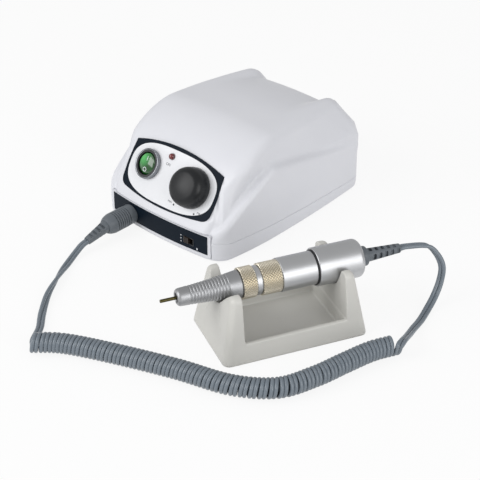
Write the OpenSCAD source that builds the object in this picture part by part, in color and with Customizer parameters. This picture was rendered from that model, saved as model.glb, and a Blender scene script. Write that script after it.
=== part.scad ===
// Nail drill set: control unit, handpiece on its curly cord, and the rest that the handpiece lies in.

/* [Control unit] */
// Greatest width of the control unit, side to side
unit_w = 132.6; // [125:0.2:145]
// Depth of the control unit, front to back
unit_d = 173; // [165:1:185]
// Height of the hood's crest above the table
unit_h = 84; // [80:1:90]
// Height of the parting line between tray and hood at mid depth
seam_h = 13; // [11.5:0.5:15]
// Wall of the hood and the tray
wall = 2.5; // [2:0.1:3]
// Radius of the upright corners in plan
corner_r = 13; // [9:1:16]
// Height of the side shoulder at its crest
shoulder_h = 60; // [55:1:63]
// Height of the ground gap under the tray
ground_gap = 1; // [0.8:0.1:1.5]

/* [Front face] */
// Lean of the dial panel back from upright, degrees
panel_tilt = 32; // [29:0.5:35]
// Height of the upright chin below the dial panel
chin_h = 21.5; // [20.5:0.5:23]
// Width of the chin plate
chin_w = 105; // [103:1:108]
// Thickness of the chin plate
chin_t = 3; // [2:0.5:4]
// Thickness of the printed overlays
overlay_t = 0.8; // [0.6:0.1:1.2]

/* [Controls] */
// Diameter of the speed knob at its skirt
knob_d = 31.4; // [28:0.2:33]
// Height of the speed knob
knob_h = 15.5; // [13:0.5:18]
// Diameter of the knob's shaft
shaft_d = 6; // [5:0.1:6.4]
// Diameter of the round power switch's rim
switch_rim_d = 23; // [22:0.5:25]
// Diameter of the power switch's panel hole
switch_hole_d = 20.2; // [19:0.1:21]
// Diameter of the indicator lamp's lens
lamp_d = 5; // [3:0.5:6]
// Travel of the direction slider
slider_travel = 4; // [2:0.5:5]

/* [Handpiece] */
// Height of the handpiece's axis above the table
axis_z = 42; // [41:0.5:48]
// Diameter of the motor housing
motor_d = 27; // [26:0.5:28]
// Diameter of the plain middle sleeve
sleeve_d = 23.6; // [22.6:0.2:24.6]
// Diameter of the gripped tool shank
shank_d = 2.35; // [2.2:0.05:2.45]
// Length of shank that stands out of the nose
shank_out = 11; // [6:1:20]

/* [Handpiece rest] */
// Length of the rest at its foot
rest_l = 105; // [98:1:116]
// Width of the rest at its foot
rest_w = 64; // [58:1:72]
// Height of the rest's posts
rest_h = 47; // [45:0.5:52]
// Height of the rest's long side rims
rim_h = 14; // [8:1:20]
// Gap between handpiece and rest
seat_gap = 0.3; // [0.2:0.05:0.6]

/* [Cord] */
// Width of the flat twin cord
cord_w = 4.8; // [4:0.1:5]
// Thickness of the flat twin cord
cord_t = 2.6; // [2:0.1:3]
// Outer diameter of the curly stretch
coil_d = 14.4; // [13:0.2:16]
// Number of curls
curls = 44; // [30:1:46]

/* [Hidden] */
$fn = 64;

// Places of the unit and the rest in the part's frame
unit_at = [-63.25, 49, 0];
rest_at = [79, -59, 0];
rest_yaw = 64.5;

// Running and assembly clearances
run_gap = 0.05;
fit_gap = 0.1;
lay_gap = 0.15;

white = "#e9e9ec";
navy = "#26323f";
black = "#1d1e20";
steel = "#b9bcc0";
brass = "#b8923e";
cord_grey = "#5f6b76";

module place_unit() { translate(unit_at) children(); }
module place_rest() { translate(rest_at) rotate([0, 0, rest_yaw]) children(); }
module place_handpiece() { place_rest() translate([0, 0, axis_z]) rotate([0, 90, 0]) children(); }

// Ring about z from z0 to z1
module tube(r_out, r_in, z0, z1) {
    difference() {
        translate([0, 0, z0]) cylinder(r = r_out, h = z1 - z0);
        translate([0, 0, z0 - 1]) cylinder(r = r_in, h = z1 - z0 + 2);
    }
}

// Solid of revolution from a list of [radius, height] points
module turned(points) { rotate_extrude() polygon(points); }

// Points along a flat arc from a to b that bulges to the left of the way by sag
function arc_points(a, b, sag, n) =
    let (d = b - a, side = [-d.y, d.x] / norm(d))
    [for (i = [0 : n - 1]) let (t = i / n) a + d * t + side * (4 * sag * t * (1 - t))];

// Rounded intersection and rounded union of two distances
function round_and(a, b, r) = min(-r, max(a, b)) + norm([max(a + r, 0), max(b + r, 0)]);
function round_or(a, b, r) = max(r, min(a, b)) - norm([max(r - a, 0), max(r - b, 0)]);

// Housing form, in the unit's own frame: a shouldered body with a hood that rises out of it
half_w = unit_w / 2;
front_y = -unit_d / 2;
rear_y = unit_d / 2;
seam_fall = 0.04;
crest_y = -25;
side_bow = 3.3;
side_draft = 0.02;
chin_r = 360;
panel_r = 420;
panel_half = 46;
shoulder_front_h = 24;
shoulder_front_gap = 14;
shoulder_power = 1.4;
shoulder_slope = 0.17;
shoulder_r = 5;
crease_r = 4;
hood_half = half_w - 7.5;
hood_chin_half = half_w - 14.5;
hood_flare = 0.17;
hood_lean = 0.14;
hood_lean_rear = 0.9;
hood_rear_lean = 0.45;
hood_rear_z = 46;
ridge_r = 6.5;
brow_r = 27;
ear_x = 42;
saddle_half = 30.5;
ear_fall = 5;
saddle_dip = 10.5;
tail_r = 10;
crown = 0.0012;

function seam_z(y) = seam_h - seam_fall * y;
function chin_y(x) = front_y + chin_r - sqrt(chin_r * chin_r - x * x);
// How far the chin's curve falls back from a point to the far edge of a flat part behind it
function chin_drop(at, half) = chin_y(abs(at.x) + half) - chin_y(at.x);
function panel_sag(x) = sqrt(panel_r * panel_r - x * x) - panel_r;
function side_x(y, z) = half_w - side_bow * pow((y - crest_y) / rear_y, 2) - side_draft * (z - seam_h);

// Height over the shoulder line: a flat-sided arch in front of the crest and a straight fall behind it
shoulder_rise = shoulder_h - shoulder_front_h;
shoulder_run = crest_y - front_y - shoulder_front_gap;
function arch(a) = pow(max(a, 0), shoulder_power);
function arch_root(a) = pow(max(a, 0), 1 / shoulder_power);
function over_shoulder(y, z) =
    y > crest_y ? z - shoulder_h + shoulder_slope * (y - crest_y)
        : shoulder_rise * (arch_root(arch((crest_y - y) / shoulder_run)
                                     + arch((z - shoulder_front_h) / shoulder_rise)) - 1);

function hood_top(x, y) =
    let (back = backness(y), dip = saddle_dip * pow(max(y - 5, 0) / (rear_y - 15), 2),
         across = min(max((x - saddle_half) / (ear_x - saddle_half), 0), 1))
    unit_h - ear_fall * back * back - dip * (1 + cos(180 * across)) / 2 - crown * x * x;

function backness(y) = max(y - crest_y, 0) / (rear_y - crest_y);
function hood_side(y, z) =
    let (back = backness(y))
    min(hood_chin_half + hood_flare * (z - chin_h) + 7 * back, side_x(y, z),
        hood_half - 2 * back - (hood_lean + hood_lean_rear * back * back) * (z - shoulder_h));

function housing(p) =
    let (x = abs(p.x), y = p.y, z = p.z, rear = y - rear_y, chin = chin_y(x) - y,
         low = round_and(round_and(x - side_x(y, z), rear, corner_r), chin, corner_r),
         panel = (front_y - y) * cos(panel_tilt) + (z - chin_h) * sin(panel_tilt) - panel_sag(x),
         clear = max(x - panel_half, 0) + 5 * max(chin_h - z, 0),
         behind = round_and(low, panel + crease_r + 1 - clear, 1),
         lower_body = round_and(behind, over_shoulder(y, z), shoulder_r),
         upper = round_and(panel, z - hood_top(x, y), brow_r),
         tail = 0.9 * (rear + hood_rear_lean * max(z - hood_rear_z, 0)),
         hood = round_and(round_and(upper, 0.85 * (x - hood_side(y, z)), ridge_r), tail, tail_r))
    round_or(lower_body, round_and(hood, chin, 1), crease_r * (1 - 0.8 * backness(y)));

// A ray from the middle of the parting plane, turned by a in plan and raised by e
function ray(a, e, r) =
    let (y = r * cos(e) * sin(a))
    [r * cos(e) * cos(a), y, seam_z(y) + r * sin(e)];
function reach(a, e, depth, lo, hi, steps) =
    let (mid = (lo + hi) / 2)
    steps == 0 ? mid
        : housing(ray(a, e, mid)) + depth > 0 ? reach(a, e, depth, lo, mid, steps - 1)
        : reach(a, e, depth, mid, hi, steps - 1);
function skin(a, e, depth) = ray(a, e, reach(a, e, depth, 0, 160, 20));

// Directions crowd at the four corners, and rows crowd along the shoulder crease and the hood's edge
around = 88;
crease_x = 60;
brow_y = -46;
function turn(i) = let (t = 360 * i / around) t + 8.6 * sin(4 * t) + 8 * sin(2 * t);
function crease_e(a) =
    let (y = min(max(crease_x * sin(a) / max(abs(cos(a)), 0.05), front_y + 8), rear_y),
         h = y > crest_y ? shoulder_h - shoulder_slope * (y - crest_y)
             : shoulder_front_h
               + shoulder_rise * arch_root(max(1 - arch((crest_y - y) / shoulder_run), 0.02)))
    atan((h - seam_h) / norm([crease_x, y]));
function edge_e(a) =
    let (along = sin(a) > 0 ? rear_y - 12 : -brow_y,
         run = min((ear_x + 6) / max(abs(cos(a)), 0.05), along / max(abs(sin(a)), 0.05)))
    atan((unit_h - 6 - seam_h) / run);
outer_rows = [[0, 0.3, 0.55, 0.72, 0.82, 0.89, 0.95, 1, 1.05, 1.11, 1.18, 1.27],
              [0.35, 0.65, 0.82, 0.92, 1], [0.05, 0.12, 0.22, 0.38, 0.58, 0.8]];
inner_rows = [[0.06, 0.4, 0.7, 0.85, 0.95, 1.05, 1.15, 1.27], [0.5, 0.9], [0.08, 0.3, 0.65]];
function raises(a, rows) =
    let (low = crease_e(a), mid = rows[0][len(rows[0]) - 1] * low, high = edge_e(a))
    concat([for (f = rows[0]) f * low], [for (f = rows[1]) mid + (high - mid) * f],
           [for (f = rows[2]) high + (90 - high) * f]);

// Closed solid inside the skin at a depth, from the parting plane, or drop below it, up
module housing_solid(depth, rows, drop) {
    total = len(rows[0]) + len(rows[1]) + len(rows[2]);
    ways = [for (i = [0 : around - 1]) raises(turn(i), rows)];
    rings = [for (k = [0 : total - 1]) [for (i = [0 : around - 1]) skin(turn(i), ways[i][k], depth)]];
    lowest = [for (p = rings[0]) p - [0, 0, drop]];
    all = drop > 0 ? concat([lowest], rings) : rings;
    n = len(all);
    points = concat([for (ring = all) each ring], [skin(0, 90, depth)], [[0, 0, seam_h - drop]]);
    top = n * around;
    polyhedron(points, concat(
        [for (k = [0 : n - 2]) for (i = [0 : around - 1])
            let (j = (i + 1) % around, a = k * around + i, b = a + around, c = k * around + around + j,
                 d = k * around + j)
            each sin(2 * turn(i + 0.5)) > 0 ? [[a, b, c], [a, c, d]] : [[a, b, d], [b, c, d]]],
        [for (i = [0 : around - 1]) [(n - 1) * around + i, top, (n - 1) * around + (i + 1) % around]],
        [for (i = [0 : around - 1]) [top + 1, i, (i + 1) % around]]));
}

// Frame of the dial panel: x across, y up the slope, z out of it, at a point of the overlay
module on_panel(at, lift = 0) {
    translate([0, front_y, chin_h]) rotate([90 - panel_tilt, 0, 0])
        translate([at.x, at.y, panel_sag(at.x)]) rotate([0, asin(at.x / panel_r), 0])
        translate([0, 0, lift]) children();
}

// Frame of the chin: x across, y up, z out of it
module on_chin(at, lift = 0) {
    translate([at.x, chin_y(at.x), at.y]) rotate([90, 0, 0]) translate([0, 0, lift]) children();
}

// Shell of the panel's curved face between two heights over it
module panel_layer(from, to) {
    intersection() {
        translate([0, front_y, chin_h]) rotate([90 - panel_tilt, 0, 0]) translate([0, 0, -10])
            linear_extrude(20) children();
        translate([0, front_y, chin_h]) rotate([90 - panel_tilt, 0, 0])
            translate([0, -10, -panel_r]) rotate([-90, 0, 0]) tube(panel_r + to, panel_r + from, 0, 90);
    }
}

// Shell of the chin's curved face between two heights over it
module chin_layer(from, to) {
    intersection() {
        translate([0, front_y + 15, 0]) rotate([90, 0, 0]) linear_extrude(30) children();
        translate([0, front_y + chin_r, 0]) tube(chin_r + to, chin_r + from, -5, 40);
    }
}

overlay_in = 0.5;
overlay_out = overlay_t - overlay_in;
panel_corner = [45, 47];
panel_low = [46.2, 18];
panel_foot = [38.5, 9.6];
panel_top_sag = 6.8;
border_w = 2.2;
switch_at = [-24, 32.5];
lamp_at = [-4.75, 45];
knob_at = [23.5, 30];
field_mid = [0, 29.3];
field_half = [panel_low.x - border_w, 21.5];
field_power = 2.8;

function left_of(p) = [-p.x, p.y];
function panel_outline() = concat(
    arc_points(left_of(panel_corner), panel_corner, panel_top_sag, 20),
    arc_points(panel_corner, panel_low, 0.8, 4),
    arc_points(panel_low, panel_foot, 2.6, 6),
    arc_points(panel_foot, left_of(panel_foot), 3.6, 16),
    arc_points(left_of(panel_foot), left_of(panel_low), 2.6, 6),
    arc_points(left_of(panel_low), left_of(panel_corner), 0.8, 4));
function super(c) = sign(c) * pow(abs(c), 2 / field_power);
function field_outline(grow) =
    [for (i = [0 : 59]) field_mid + [(field_half.x + grow) * super(cos(6 * i)),
                                     (field_half.y + grow) * super(sin(6 * i))]];

lamp_bezel = 0.4;
bush_d = shaft_d + 1;
bush_hole_d = bush_d + 0.4;
module panel_holes(from, to) {
    on_panel(switch_at, from) cylinder(d = switch_hole_d, h = to - from);
    on_panel(lamp_at, from) cylinder(d = lamp_d + 2 * fit_gap, h = to - from);
    on_panel(knob_at, from) cylinder(d = bush_hole_d, h = to - from);
}

chin_plate_low = ground_gap + 2;
chin_plate_top = chin_h - 0.1;
module chin_area(grow) {
    translate([-chin_w / 2 - grow, chin_plate_low - grow])
        square([chin_w + 2 * grow, chin_plate_top - chin_plate_low + 2 * grow]);
}

// Rear recess between the two rear corners, and the window that the rear panel covers
recess_w = 62;
recess_y = rear_y - 14;
recess_floor = 15;
window = [50, 36];
window_z = 22;
rear_t = 2;
rear_panel_low = 17;
rear_panel = [58, 46];
inlet_at = [-9, 40];
jack_at = [19, 40];
inlet_hole = [27.4, 20.4];

screw_spots = [for (sx = [-1, 1], y = [-62, 66]) [sx * (half_w - 12), y]];
boss_d = 9;
boss_bore_top = 29;
base_screw_l = 22;
base_screw_d = 3;
screw_clear = 0.2;
boss_bore_d = base_screw_d - 0.1;
foot_spots = [for (sx = [-1, 1], y = [-58, 60]) [sx * (half_w - 24), y]];
foot_d = 14;
foot_sink = 1.4;
floor_z = ground_gap + wall;

module top_housing() {
    color(white) place_unit() difference() {
        difference() {
            housing_solid(0, outer_rows, 0);
            difference() {
                housing_solid(wall, inner_rows, 4);
                translate([-recess_w / 2 - wall, recess_y - wall, recess_floor - wall])
                    cube([recess_w + 2 * wall, 60, 120]);
                for (s = screw_spots) translate([s.x, s.y, 0]) cylinder(d = boss_d, h = unit_h);
            }
        }
        translate([-recess_w / 2, recess_y, recess_floor]) cube([recess_w, 60, 120]);
        translate([-window.x / 2, recess_y - 10, window_z]) cube([window.x, 20, window.y]);
        panel_layer(-overlay_in, 8) polygon(panel_outline());
        panel_holes(-12, 8);
        chin_layer(-chin_t - lay_gap, 9) chin_area(fit_gap);
        for (s = screw_spots) translate([s.x, s.y, -1]) cylinder(d = boss_bore_d, h = boss_bore_top + 1);
        for (p = rear_screw_spots) translate([p.x, recess_y - 8, p.y]) rotate([-90, 0, 0])
            cylinder(d = rear_screw_d, h = 20);
    }
}

tray_edge = 2;
module base_tray() {
    outline = [for (depth = [tray_edge, 0.3, 0, wall, wall + 0.4])
               [for (i = [0 : around - 1]) skin(turn(i), 0, depth)]];
    heights = [ground_gap, ground_gap + 2.2];
    rings = [[for (p = outline[0]) [p.x, p.y, heights[0]]],
             [for (p = outline[1]) [p.x, p.y, heights[1]]],
             outline[2], outline[3],
             [for (p = outline[4]) [p.x, p.y, floor_z]]];
    middle = len(rings) * around;
    points = concat([for (ring = rings) each ring], [[0, 0, heights[0]], [0, 0, floor_z]]);
    faces = concat(
        [for (k = [0 : 3]) for (i = [0 : around - 1]) let (j = (i + 1) % around)
            each [[k * around + i, k * around + around + i, k * around + around + j],
                  [k * around + i, k * around + around + j, k * around + j]]],
        [for (i = [0 : around - 1]) [middle, i, (i + 1) % around]],
        [for (i = [0 : around - 1]) [4 * around + i, middle + 1, 4 * around + (i + 1) % around]]);
    color(white) place_unit() difference() {
        union() {
            polyhedron(points, faces);
            for (s = screw_spots) translate([s.x, s.y, floor_z - 0.5])
                cylinder(d = boss_d, h = seam_z(s.y + boss_d / 2) - seat_gap - floor_z + 0.5);
            for (s = board_spots) translate([s.x, s.y, floor_z - 0.5])
                cylinder(d = pillar_d, h = board_z - floor_z + 0.5);
        }
        chin_layer(-chin_t - lay_gap, 9) chin_area(fit_gap);
        for (s = screw_spots) translate([s.x, s.y, -1]) {
            cylinder(d = base_screw_d + 2 * screw_clear, h = 30);
            cylinder(d = screw_head_d + 4 * screw_clear, h = 1 + ground_gap + head_sink);
        }
        for (s = foot_spots) translate([s.x, s.y, -1])
            cylinder(d = foot_d + 2 * fit_gap, h = 1 + foot_sink + ground_gap);
        for (s = board_spots) translate([s.x, s.y, floor_z + 0.5]) cylinder(d = board_screw_d, h = 20);
    }
}

screw_head_d = 5.6;
head_sink = 1.6;
head_h = 1.2;
module base_screws() {
    color(steel) place_unit() for (s = screw_spots) translate([s.x, s.y, ground_gap + head_sink])
        union() {
            translate([0, 0, -head_h]) cylinder(d = screw_head_d, h = head_h);
            cylinder(d = boss_bore_d - 2 * run_gap, h = base_screw_l);
        }
}

module rubber_feet() {
    color(black) place_unit() for (s = foot_spots) translate([s.x, s.y, 0])
        cylinder(d = foot_d, h = foot_sink + ground_gap);
}

module chin_plate() {
    color(white) place_unit() difference() {
        chin_layer(-chin_t, 0) chin_area(0);
        on_chin(socket_at, -10) cylinder(d = socket_nose_d + 2 * fit_gap, h = 20);
        on_chin(slider_at, -10) translate([-slot.x / 2, -slot.y / 2, 0]) cube([slot.x, slot.y, 20]);
    }
}

strip_margin = [2.6, 0.6];
strip_low = 2.6;
module chin_overlay() {
    low = [-chin_w / 2 + strip_margin.x, chin_plate_low + strip_low];
    size = [chin_w - 2 * strip_margin.x, chin_plate_top - chin_plate_low - strip_low - strip_margin.y];
    color(navy) place_unit() difference() {
        chin_layer(0.05, overlay_t / 2 + 0.05) translate(low) square(size);
        on_chin(socket_at, -10) cylinder(d = socket_nose_d + 2 * fit_gap, h = 20);
        on_chin(slider_at, -10) translate([-slot.x / 2, -slot.y / 2, 0]) cube([slot.x, slot.y, 20]);
    }
}

module panel_border() {
    color(navy) place_unit() difference() {
        panel_layer(-overlay_in, overlay_out) polygon(panel_outline());
        panel_layer(-overlay_in - 1, overlay_out + 1) polygon(field_outline(fit_gap));
    }
}

module panel_face() {
    color(white) place_unit() difference() {
        panel_layer(-overlay_in, overlay_out) polygon(field_outline(0));
        panel_holes(-12, 8);
    }
}

// Round rocker switch
rim_h_switch = 3.2;
switch_depth = 20;
switch_well_d = 18;
rocker_d = 16.4;
rocker_pivot = -1.2;
rocker_pin_d = 2;
rocker_pin_l = switch_well_d + 1;
rocker_slope = 6;
rocker_lean = 6;
module power_switch() {
    color(black) place_unit() on_panel(switch_at, overlay_out + 0.05) difference() {
        union() {
            cylinder(d = switch_rim_d, h = rim_h_switch);
            translate([0, 0, -switch_depth]) cylinder(d = switch_hole_d - 0.3, h = switch_depth);
        }
        translate([0, 0, -9]) cylinder(d = switch_well_d, h = 20);
        translate([-rocker_pin_l / 2 - 0.2, 0, rocker_pivot]) rotate([0, 90, 0])
            cylinder(d = rocker_pin_d + 2 * run_gap, h = rocker_pin_l + 0.4);
    }
}

module power_rocker() {
    color("#2f9a3c") place_unit() on_panel(switch_at, overlay_out + 0.05 + rocker_pivot)
        rotate([rocker_lean, 0, 0]) union() {
            difference() {
                translate([0, 0, -2.8]) cylinder(d = rocker_d, h = 8.4);
                for (s = [0, 180]) rotate([0, 0, s]) translate([-20, 0, 4.8]) rotate([-rocker_slope, 0, 0])
                    translate([0, -1, 0]) cube([40, 41, 20]);
                for (s = [0, 180]) rotate([0, 0, s]) translate([-20, 3, -3.3]) rotate([12, 0, 0])
                    translate([0, 0, -20]) cube([40, 40, 20]);
            }
            translate([-rocker_pin_l / 2, 0, 0]) rotate([0, 90, 0])
                cylinder(d = rocker_pin_d, h = rocker_pin_l);
        }
}

module indicator_lamp() {
    r = lamp_d / 2;
    color("#8e1220") place_unit() on_panel(lamp_at, overlay_out) union() {
        translate([0, 0, -8]) cylinder(r = r, h = 8.6);
        translate([0, 0, 0.6]) intersection() {
            sphere(r = r);
            translate([0, 0, 5]) cube(10, center = true);
        }
        translate([0, 0, -8]) cylinder(r = r + lamp_bezel, h = 1);
        for (s = [-1.27, 1.27]) translate([s, 0, -14]) cylinder(d = 0.6, h = 6.2);
    }
}

// Speed control: body behind the panel, threaded bush and nut, shaft and knob
control_back = -wall - 0.5;
nut_h = 2;
knob_gap = 0.6;
knob_edge = 3;
module speed_knob() {
    r = knob_d / 2;
    face = r - 2.4;
    color("#2b2d31") place_unit() on_panel(knob_at, overlay_out) difference() {
        turned(concat([[0, knob_gap], [r - 0.5, knob_gap], [r, knob_gap + 0.6], [r - 0.3, 5]],
                      [for (a = [0 : 15 : 75]) [face - knob_edge + knob_edge * cos(a),
                                                knob_h - knob_edge - 1 + knob_edge * sin(a)]],
                      [[face - knob_edge, knob_h - 1], [face / 2, knob_h - 0.3], [0, knob_h]]));
        translate([0, 0, -1]) cylinder(d = shaft_d + 2 * run_gap, h = knob_h - 3);
        translate([0, 0, -1]) cylinder(d = bush_d + 7, h = nut_h + 2.6);
    }
}

module speed_control_shaft() {
    color(steel) place_unit() on_panel(knob_at, overlay_out)
        translate([0, 0, control_back - 7]) cylinder(d = shaft_d, h = knob_h - 5 - control_back + 7);
}

module speed_control() {
    color("#7d8076") place_unit() on_panel(knob_at, overlay_out) difference() {
        union() {
            translate([0, 0, control_back - 9]) cylinder(d = 17, h = 9);
            translate([0, 0, control_back - 0.5]) cylinder(d = bush_d, h = nut_h + 0.9 - control_back);
            for (s = [-5, 0, 5]) translate([s - 0.6, -14, control_back - 6]) cube([1.2, 7, 0.8]);
        }
        translate([0, 0, control_back - 7.2]) cylinder(d = shaft_d + 4 * run_gap, h = 40);
    }
}

module speed_control_nut() {
    color(steel) place_unit() on_panel(knob_at, overlay_out + 0.05) difference() {
        cylinder(d = bush_d + 5, h = nut_h, $fn = 6);
        translate([0, 0, -1]) cylinder(d = bush_d + 2 * run_gap, h = nut_h + 2);
    }
}

// Handpiece socket and plug on one axis square to the chin
socket_at = [-28.15, 11.3];
socket_nose_d = 14.8;
shield_d = 13.2;
shield_t = 0.6;
shield_l = 9;
pin_d = 1.45;
pin_circle_d = 7;
pin_l = 8;
socket_back = -12;
pin_angles = [0, 45, 90, 135, 180];
module pin_pattern() {
    for (a = pin_angles) rotate([0, 0, a]) translate([pin_circle_d / 2, 0, 0]) children();
}

module handpiece_socket() {
    color(black) place_unit() on_chin(socket_at) difference() {
        union() {
            translate([0, 0, socket_back]) cylinder(d = socket_nose_d, h = 0.4 - socket_back);
            translate([-9.5, -7.6, -chin_t - 4.2 - chin_drop(socket_at, 9.5)]) cube([19, 17, 4]);
        }
        tube(shield_d / 2 + fit_gap, shield_d / 2 - shield_t - fit_gap, -shield_l - 0.5, 20);
        translate([0, 0, -pin_l - 1]) pin_pattern() cylinder(d = pin_d + 2 * fit_gap, h = 20);
    }
}

plug_gap = 0.7;
grip_d = 16;
grip_l = 27;
grip_ribs = 8;
relief_l = 19;
relief_droop = 13;
relief_d = [9.5, 6.4];
relief_ribs = 6;
module plug_grip() {
    r = grip_d / 2;
    rib = grip_l * 0.62 / grip_ribs;
    body = concat([[0, 0], [r - 1, 0], [r - 0.4, 1]],
        [for (i = [0 : grip_ribs - 1]) each [[r - 0.5, 3 + i * rib], [r, 3 + (i + 0.3) * rib],
                                             [r, 3 + (i + 0.7) * rib]]],
        [[r - 0.5, grip_l - 6], [r - 1, grip_l - 3], [relief_d[0] / 2 + 0.8, grip_l], [0, grip_l]]);
    step = (relief_l - 2) / relief_ribs;
    taper = (relief_d[0] - relief_d[1]) / 2 / relief_l;
    relief = concat([[0, -3], [relief_d[0] / 2, -3]],
        [for (i = [0 : relief_ribs - 1]) let (q = relief_d[0] / 2 - taper * i * step, z = 1 + i * step)
            each [[q, z], [q, z + 0.55 * step], [q - 0.8, z + 0.55 * step], [q - 0.8, z + step]]],
        [[relief_d[1] / 2, relief_l], [0, relief_l]]);
    color(cord_grey) place_unit() on_chin(socket_at, plug_gap) union() {
        turned(body);
        translate([0, 0, grip_l]) rotate([relief_droop, 0, 0]) turned(relief);
    }
}

module plug_shield() {
    color(steel) place_unit() on_chin(socket_at, plug_gap)
        tube(shield_d / 2, shield_d / 2 - shield_t, -shield_l, 0);
}

module plug_pins() {
    color(brass) place_unit() on_chin(socket_at, plug_gap)
        translate([0, 0, -pin_l]) pin_pattern() cylinder(d = pin_d, h = pin_l);
}

// Forward and reverse slide switch
slider_at = [32.7, 11.8];
slot = [10.4, 6.4];
switch_mouth = [8.9, 5.2];
slider = [4.6, 5];
module direction_switch() {
    color(black) place_unit() on_chin(slider_at) difference() {
        union() {
            translate([-10, -5.5, -chin_t - 7.6 - chin_drop(slider_at, 10)]) cube([20, 11, 7.4]);
            translate([-slot.x / 2 + fit_gap, -slot.y / 2 + fit_gap, -chin_t - 5])
                cube([slot.x - 2 * fit_gap, slot.y - 2 * fit_gap, chin_t + 5.3]);
        }
        translate([-switch_mouth.x / 2, -switch_mouth.y / 2, -chin_t - 4]) cube(concat(switch_mouth, 20));
    }
}

module direction_slider() {
    color("#3a2a22") place_unit() on_chin(slider_at)
        translate([-slider_travel / 2 - slider.x / 2, -slider.y / 2, -chin_t - 3.8])
        difference() {
            cube([slider.x, slider.y, chin_t + 5]);
            for (x = [1.2, 2.4, 3.6]) translate([x - 0.25, -1, chin_t + 4.6]) cube([0.5, 20, 2]);
        }
}

// Inside the unit: board on four pillars, transformer on the floor
board_z = 10;
board = [96, 44, 1.6];
board_y = -40;
board_spots = [for (sx = [-1, 1], sy = [-1, 1]) [sx * (board.x / 2 - 5), board_y + sy * (board.y / 2 - 5)]];
board_screw_d = 2.5;
pillar_d = 6;
module control_board() {
    color("#2c6b45") place_unit() difference() {
        translate([-board.x / 2, board_y - board.y / 2, board_z]) cube(board);
        for (s = board_spots) translate([s.x, s.y, board_z - 1]) cylinder(d = board_screw_d + 0.6, h = 5);
    }
}

module board_screws() {
    top = board_z + board.z;
    color(steel) place_unit() for (s = board_spots) translate([s.x, s.y, top]) union() {
        cylinder(d = 5, h = 1.6);
        translate([0, 0, -board.z - 5]) cylinder(d = board_screw_d - 2 * run_gap, h = board.z + 5.2);
    }
}

capacitor_spots = [[-14, -34, 16, 25], [6, -34, 16, 25], [22, -50, 8, 12], [-30, -50, 8, 12]];
module board_capacitors() {
    color("#23304a") place_unit() for (c = capacitor_spots)
        translate([c[0], c[1], board_z + board.z]) cylinder(d = c[2], h = c[3]);
}

module heat_sink() {
    color("#8f9296") place_unit() translate([19.5, -30, board_z + board.z]) union() {
        cube([18, 3, 26]);
        for (x = [0 : 3.75 : 15]) translate([x, 0, 0]) cube([3, 8, 26]);
    }
}

core = [57, 20, 48];
window_core = [9.5, 28.5];
core_at = [0, 22];
coil_out = 9;
module transformer_core() {
    color("#6d6f73") place_unit() translate([core_at.x - core.x / 2, core_at.y - core.y / 2, floor_z])
        difference() {
            cube(core);
            for (x = [core.x / 3 - window_core.x, 2 * core.x / 3])
                translate([x, -1, core.z / 2 - window_core.y / 2])
                    cube([window_core.x, core.y + 2, window_core.y]);
        }
}

module transformer_coil() {
    leg = [core.x / 3, core.y];
    gap = 0.2;
    size = [core.x / 3 + 2 * window_core.x - 0.6, core.y + 2 * coil_out, window_core.y - 0.4];
    color("#c9a227") place_unit() translate([core_at.x, core_at.y, floor_z + core.z / 2]) difference() {
        cube(size, center = true);
        cube([leg.x + 2 * gap, leg.y + 2 * gap, 60], center = true);
    }
}

rear_screw_d = 2.6;
rear_screw_spots = [for (sx = [-1, 1], z = [rear_panel_low + 3.5, rear_panel_low + rear_panel.y - 3.5])
                    [sx * (rear_panel.x / 2 - 2.4), z]];
jack_d = 9;
module rear_panel() {
    color("#d9dadd") place_unit() difference() {
        translate([-rear_panel.x / 2, recess_y, rear_panel_low]) cube([rear_panel.x, rear_t, rear_panel.y]);
        translate([inlet_at.x - inlet_hole.x / 2, recess_y - 5, inlet_at.y - inlet_hole.y / 2])
            cube([inlet_hole.x, 20, inlet_hole.y]);
        translate([jack_at.x, recess_y - 5, jack_at.y]) rotate([-90, 0, 0])
            cylinder(d = jack_d + 0.2, h = 20);
        for (p = rear_screw_spots) translate([p.x, recess_y - 5, p.y]) rotate([-90, 0, 0])
            cylinder(d = rear_screw_d + 0.4, h = 20);
    }
}

module rear_panel_screws() {
    color(steel) place_unit() for (p = rear_screw_spots) translate([p.x, recess_y + rear_t, p.y])
        rotate([-90, 0, 0]) union() {
            cylinder(d = 4.4, h = 1.4);
            translate([0, 0, -rear_t - wall])
                cylinder(d = rear_screw_d - 2 * run_gap, h = rear_t + wall + 0.2);
        }
}

// Mains inlet with three flat pins in an open shroud
inlet_body = [27, 20];
inlet_cup = [24, 16.5];
inlet_deep = 15;
module mains_inlet() {
    y = recess_y + rear_t;
    color(black) place_unit() translate([inlet_at.x, y, inlet_at.y]) difference() {
        union() {
            translate([-inlet_body.x / 2, -inlet_deep - 3, -inlet_body.y / 2])
                cube([inlet_body.x, inlet_deep + 3, inlet_body.y]);
            translate([-inlet_body.x / 2 - 2.4, 0.05, -inlet_body.y / 2 - 2])
                cube([inlet_body.x + 4.8, 2.4, inlet_body.y + 4]);
            translate([-inlet_body.x / 2, -1, -inlet_body.y / 2]) cube([inlet_body.x, 2, inlet_body.y]);
        }
        translate([-inlet_cup.x / 2, -inlet_deep, -inlet_cup.y / 2])
            cube([inlet_cup.x, inlet_deep + 10, inlet_cup.y]);
        for (p = inlet_pin_spots) translate([p.x - 2 - fit_gap, -inlet_deep - 10, p.y - 1 - fit_gap])
            cube([4 + 2 * fit_gap, 30, 2 + 2 * fit_gap]);
    }
}

inlet_pin_spots = [[-7, -2], [7, -2], [0, 2]];
module inlet_pins() {
    color(brass) place_unit() translate([inlet_at.x, recess_y + rear_t, inlet_at.y])
        for (p = inlet_pin_spots) translate([p.x - 2, -inlet_deep - 8, p.y - 1]) cube([4, 19, 2]);
}

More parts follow.
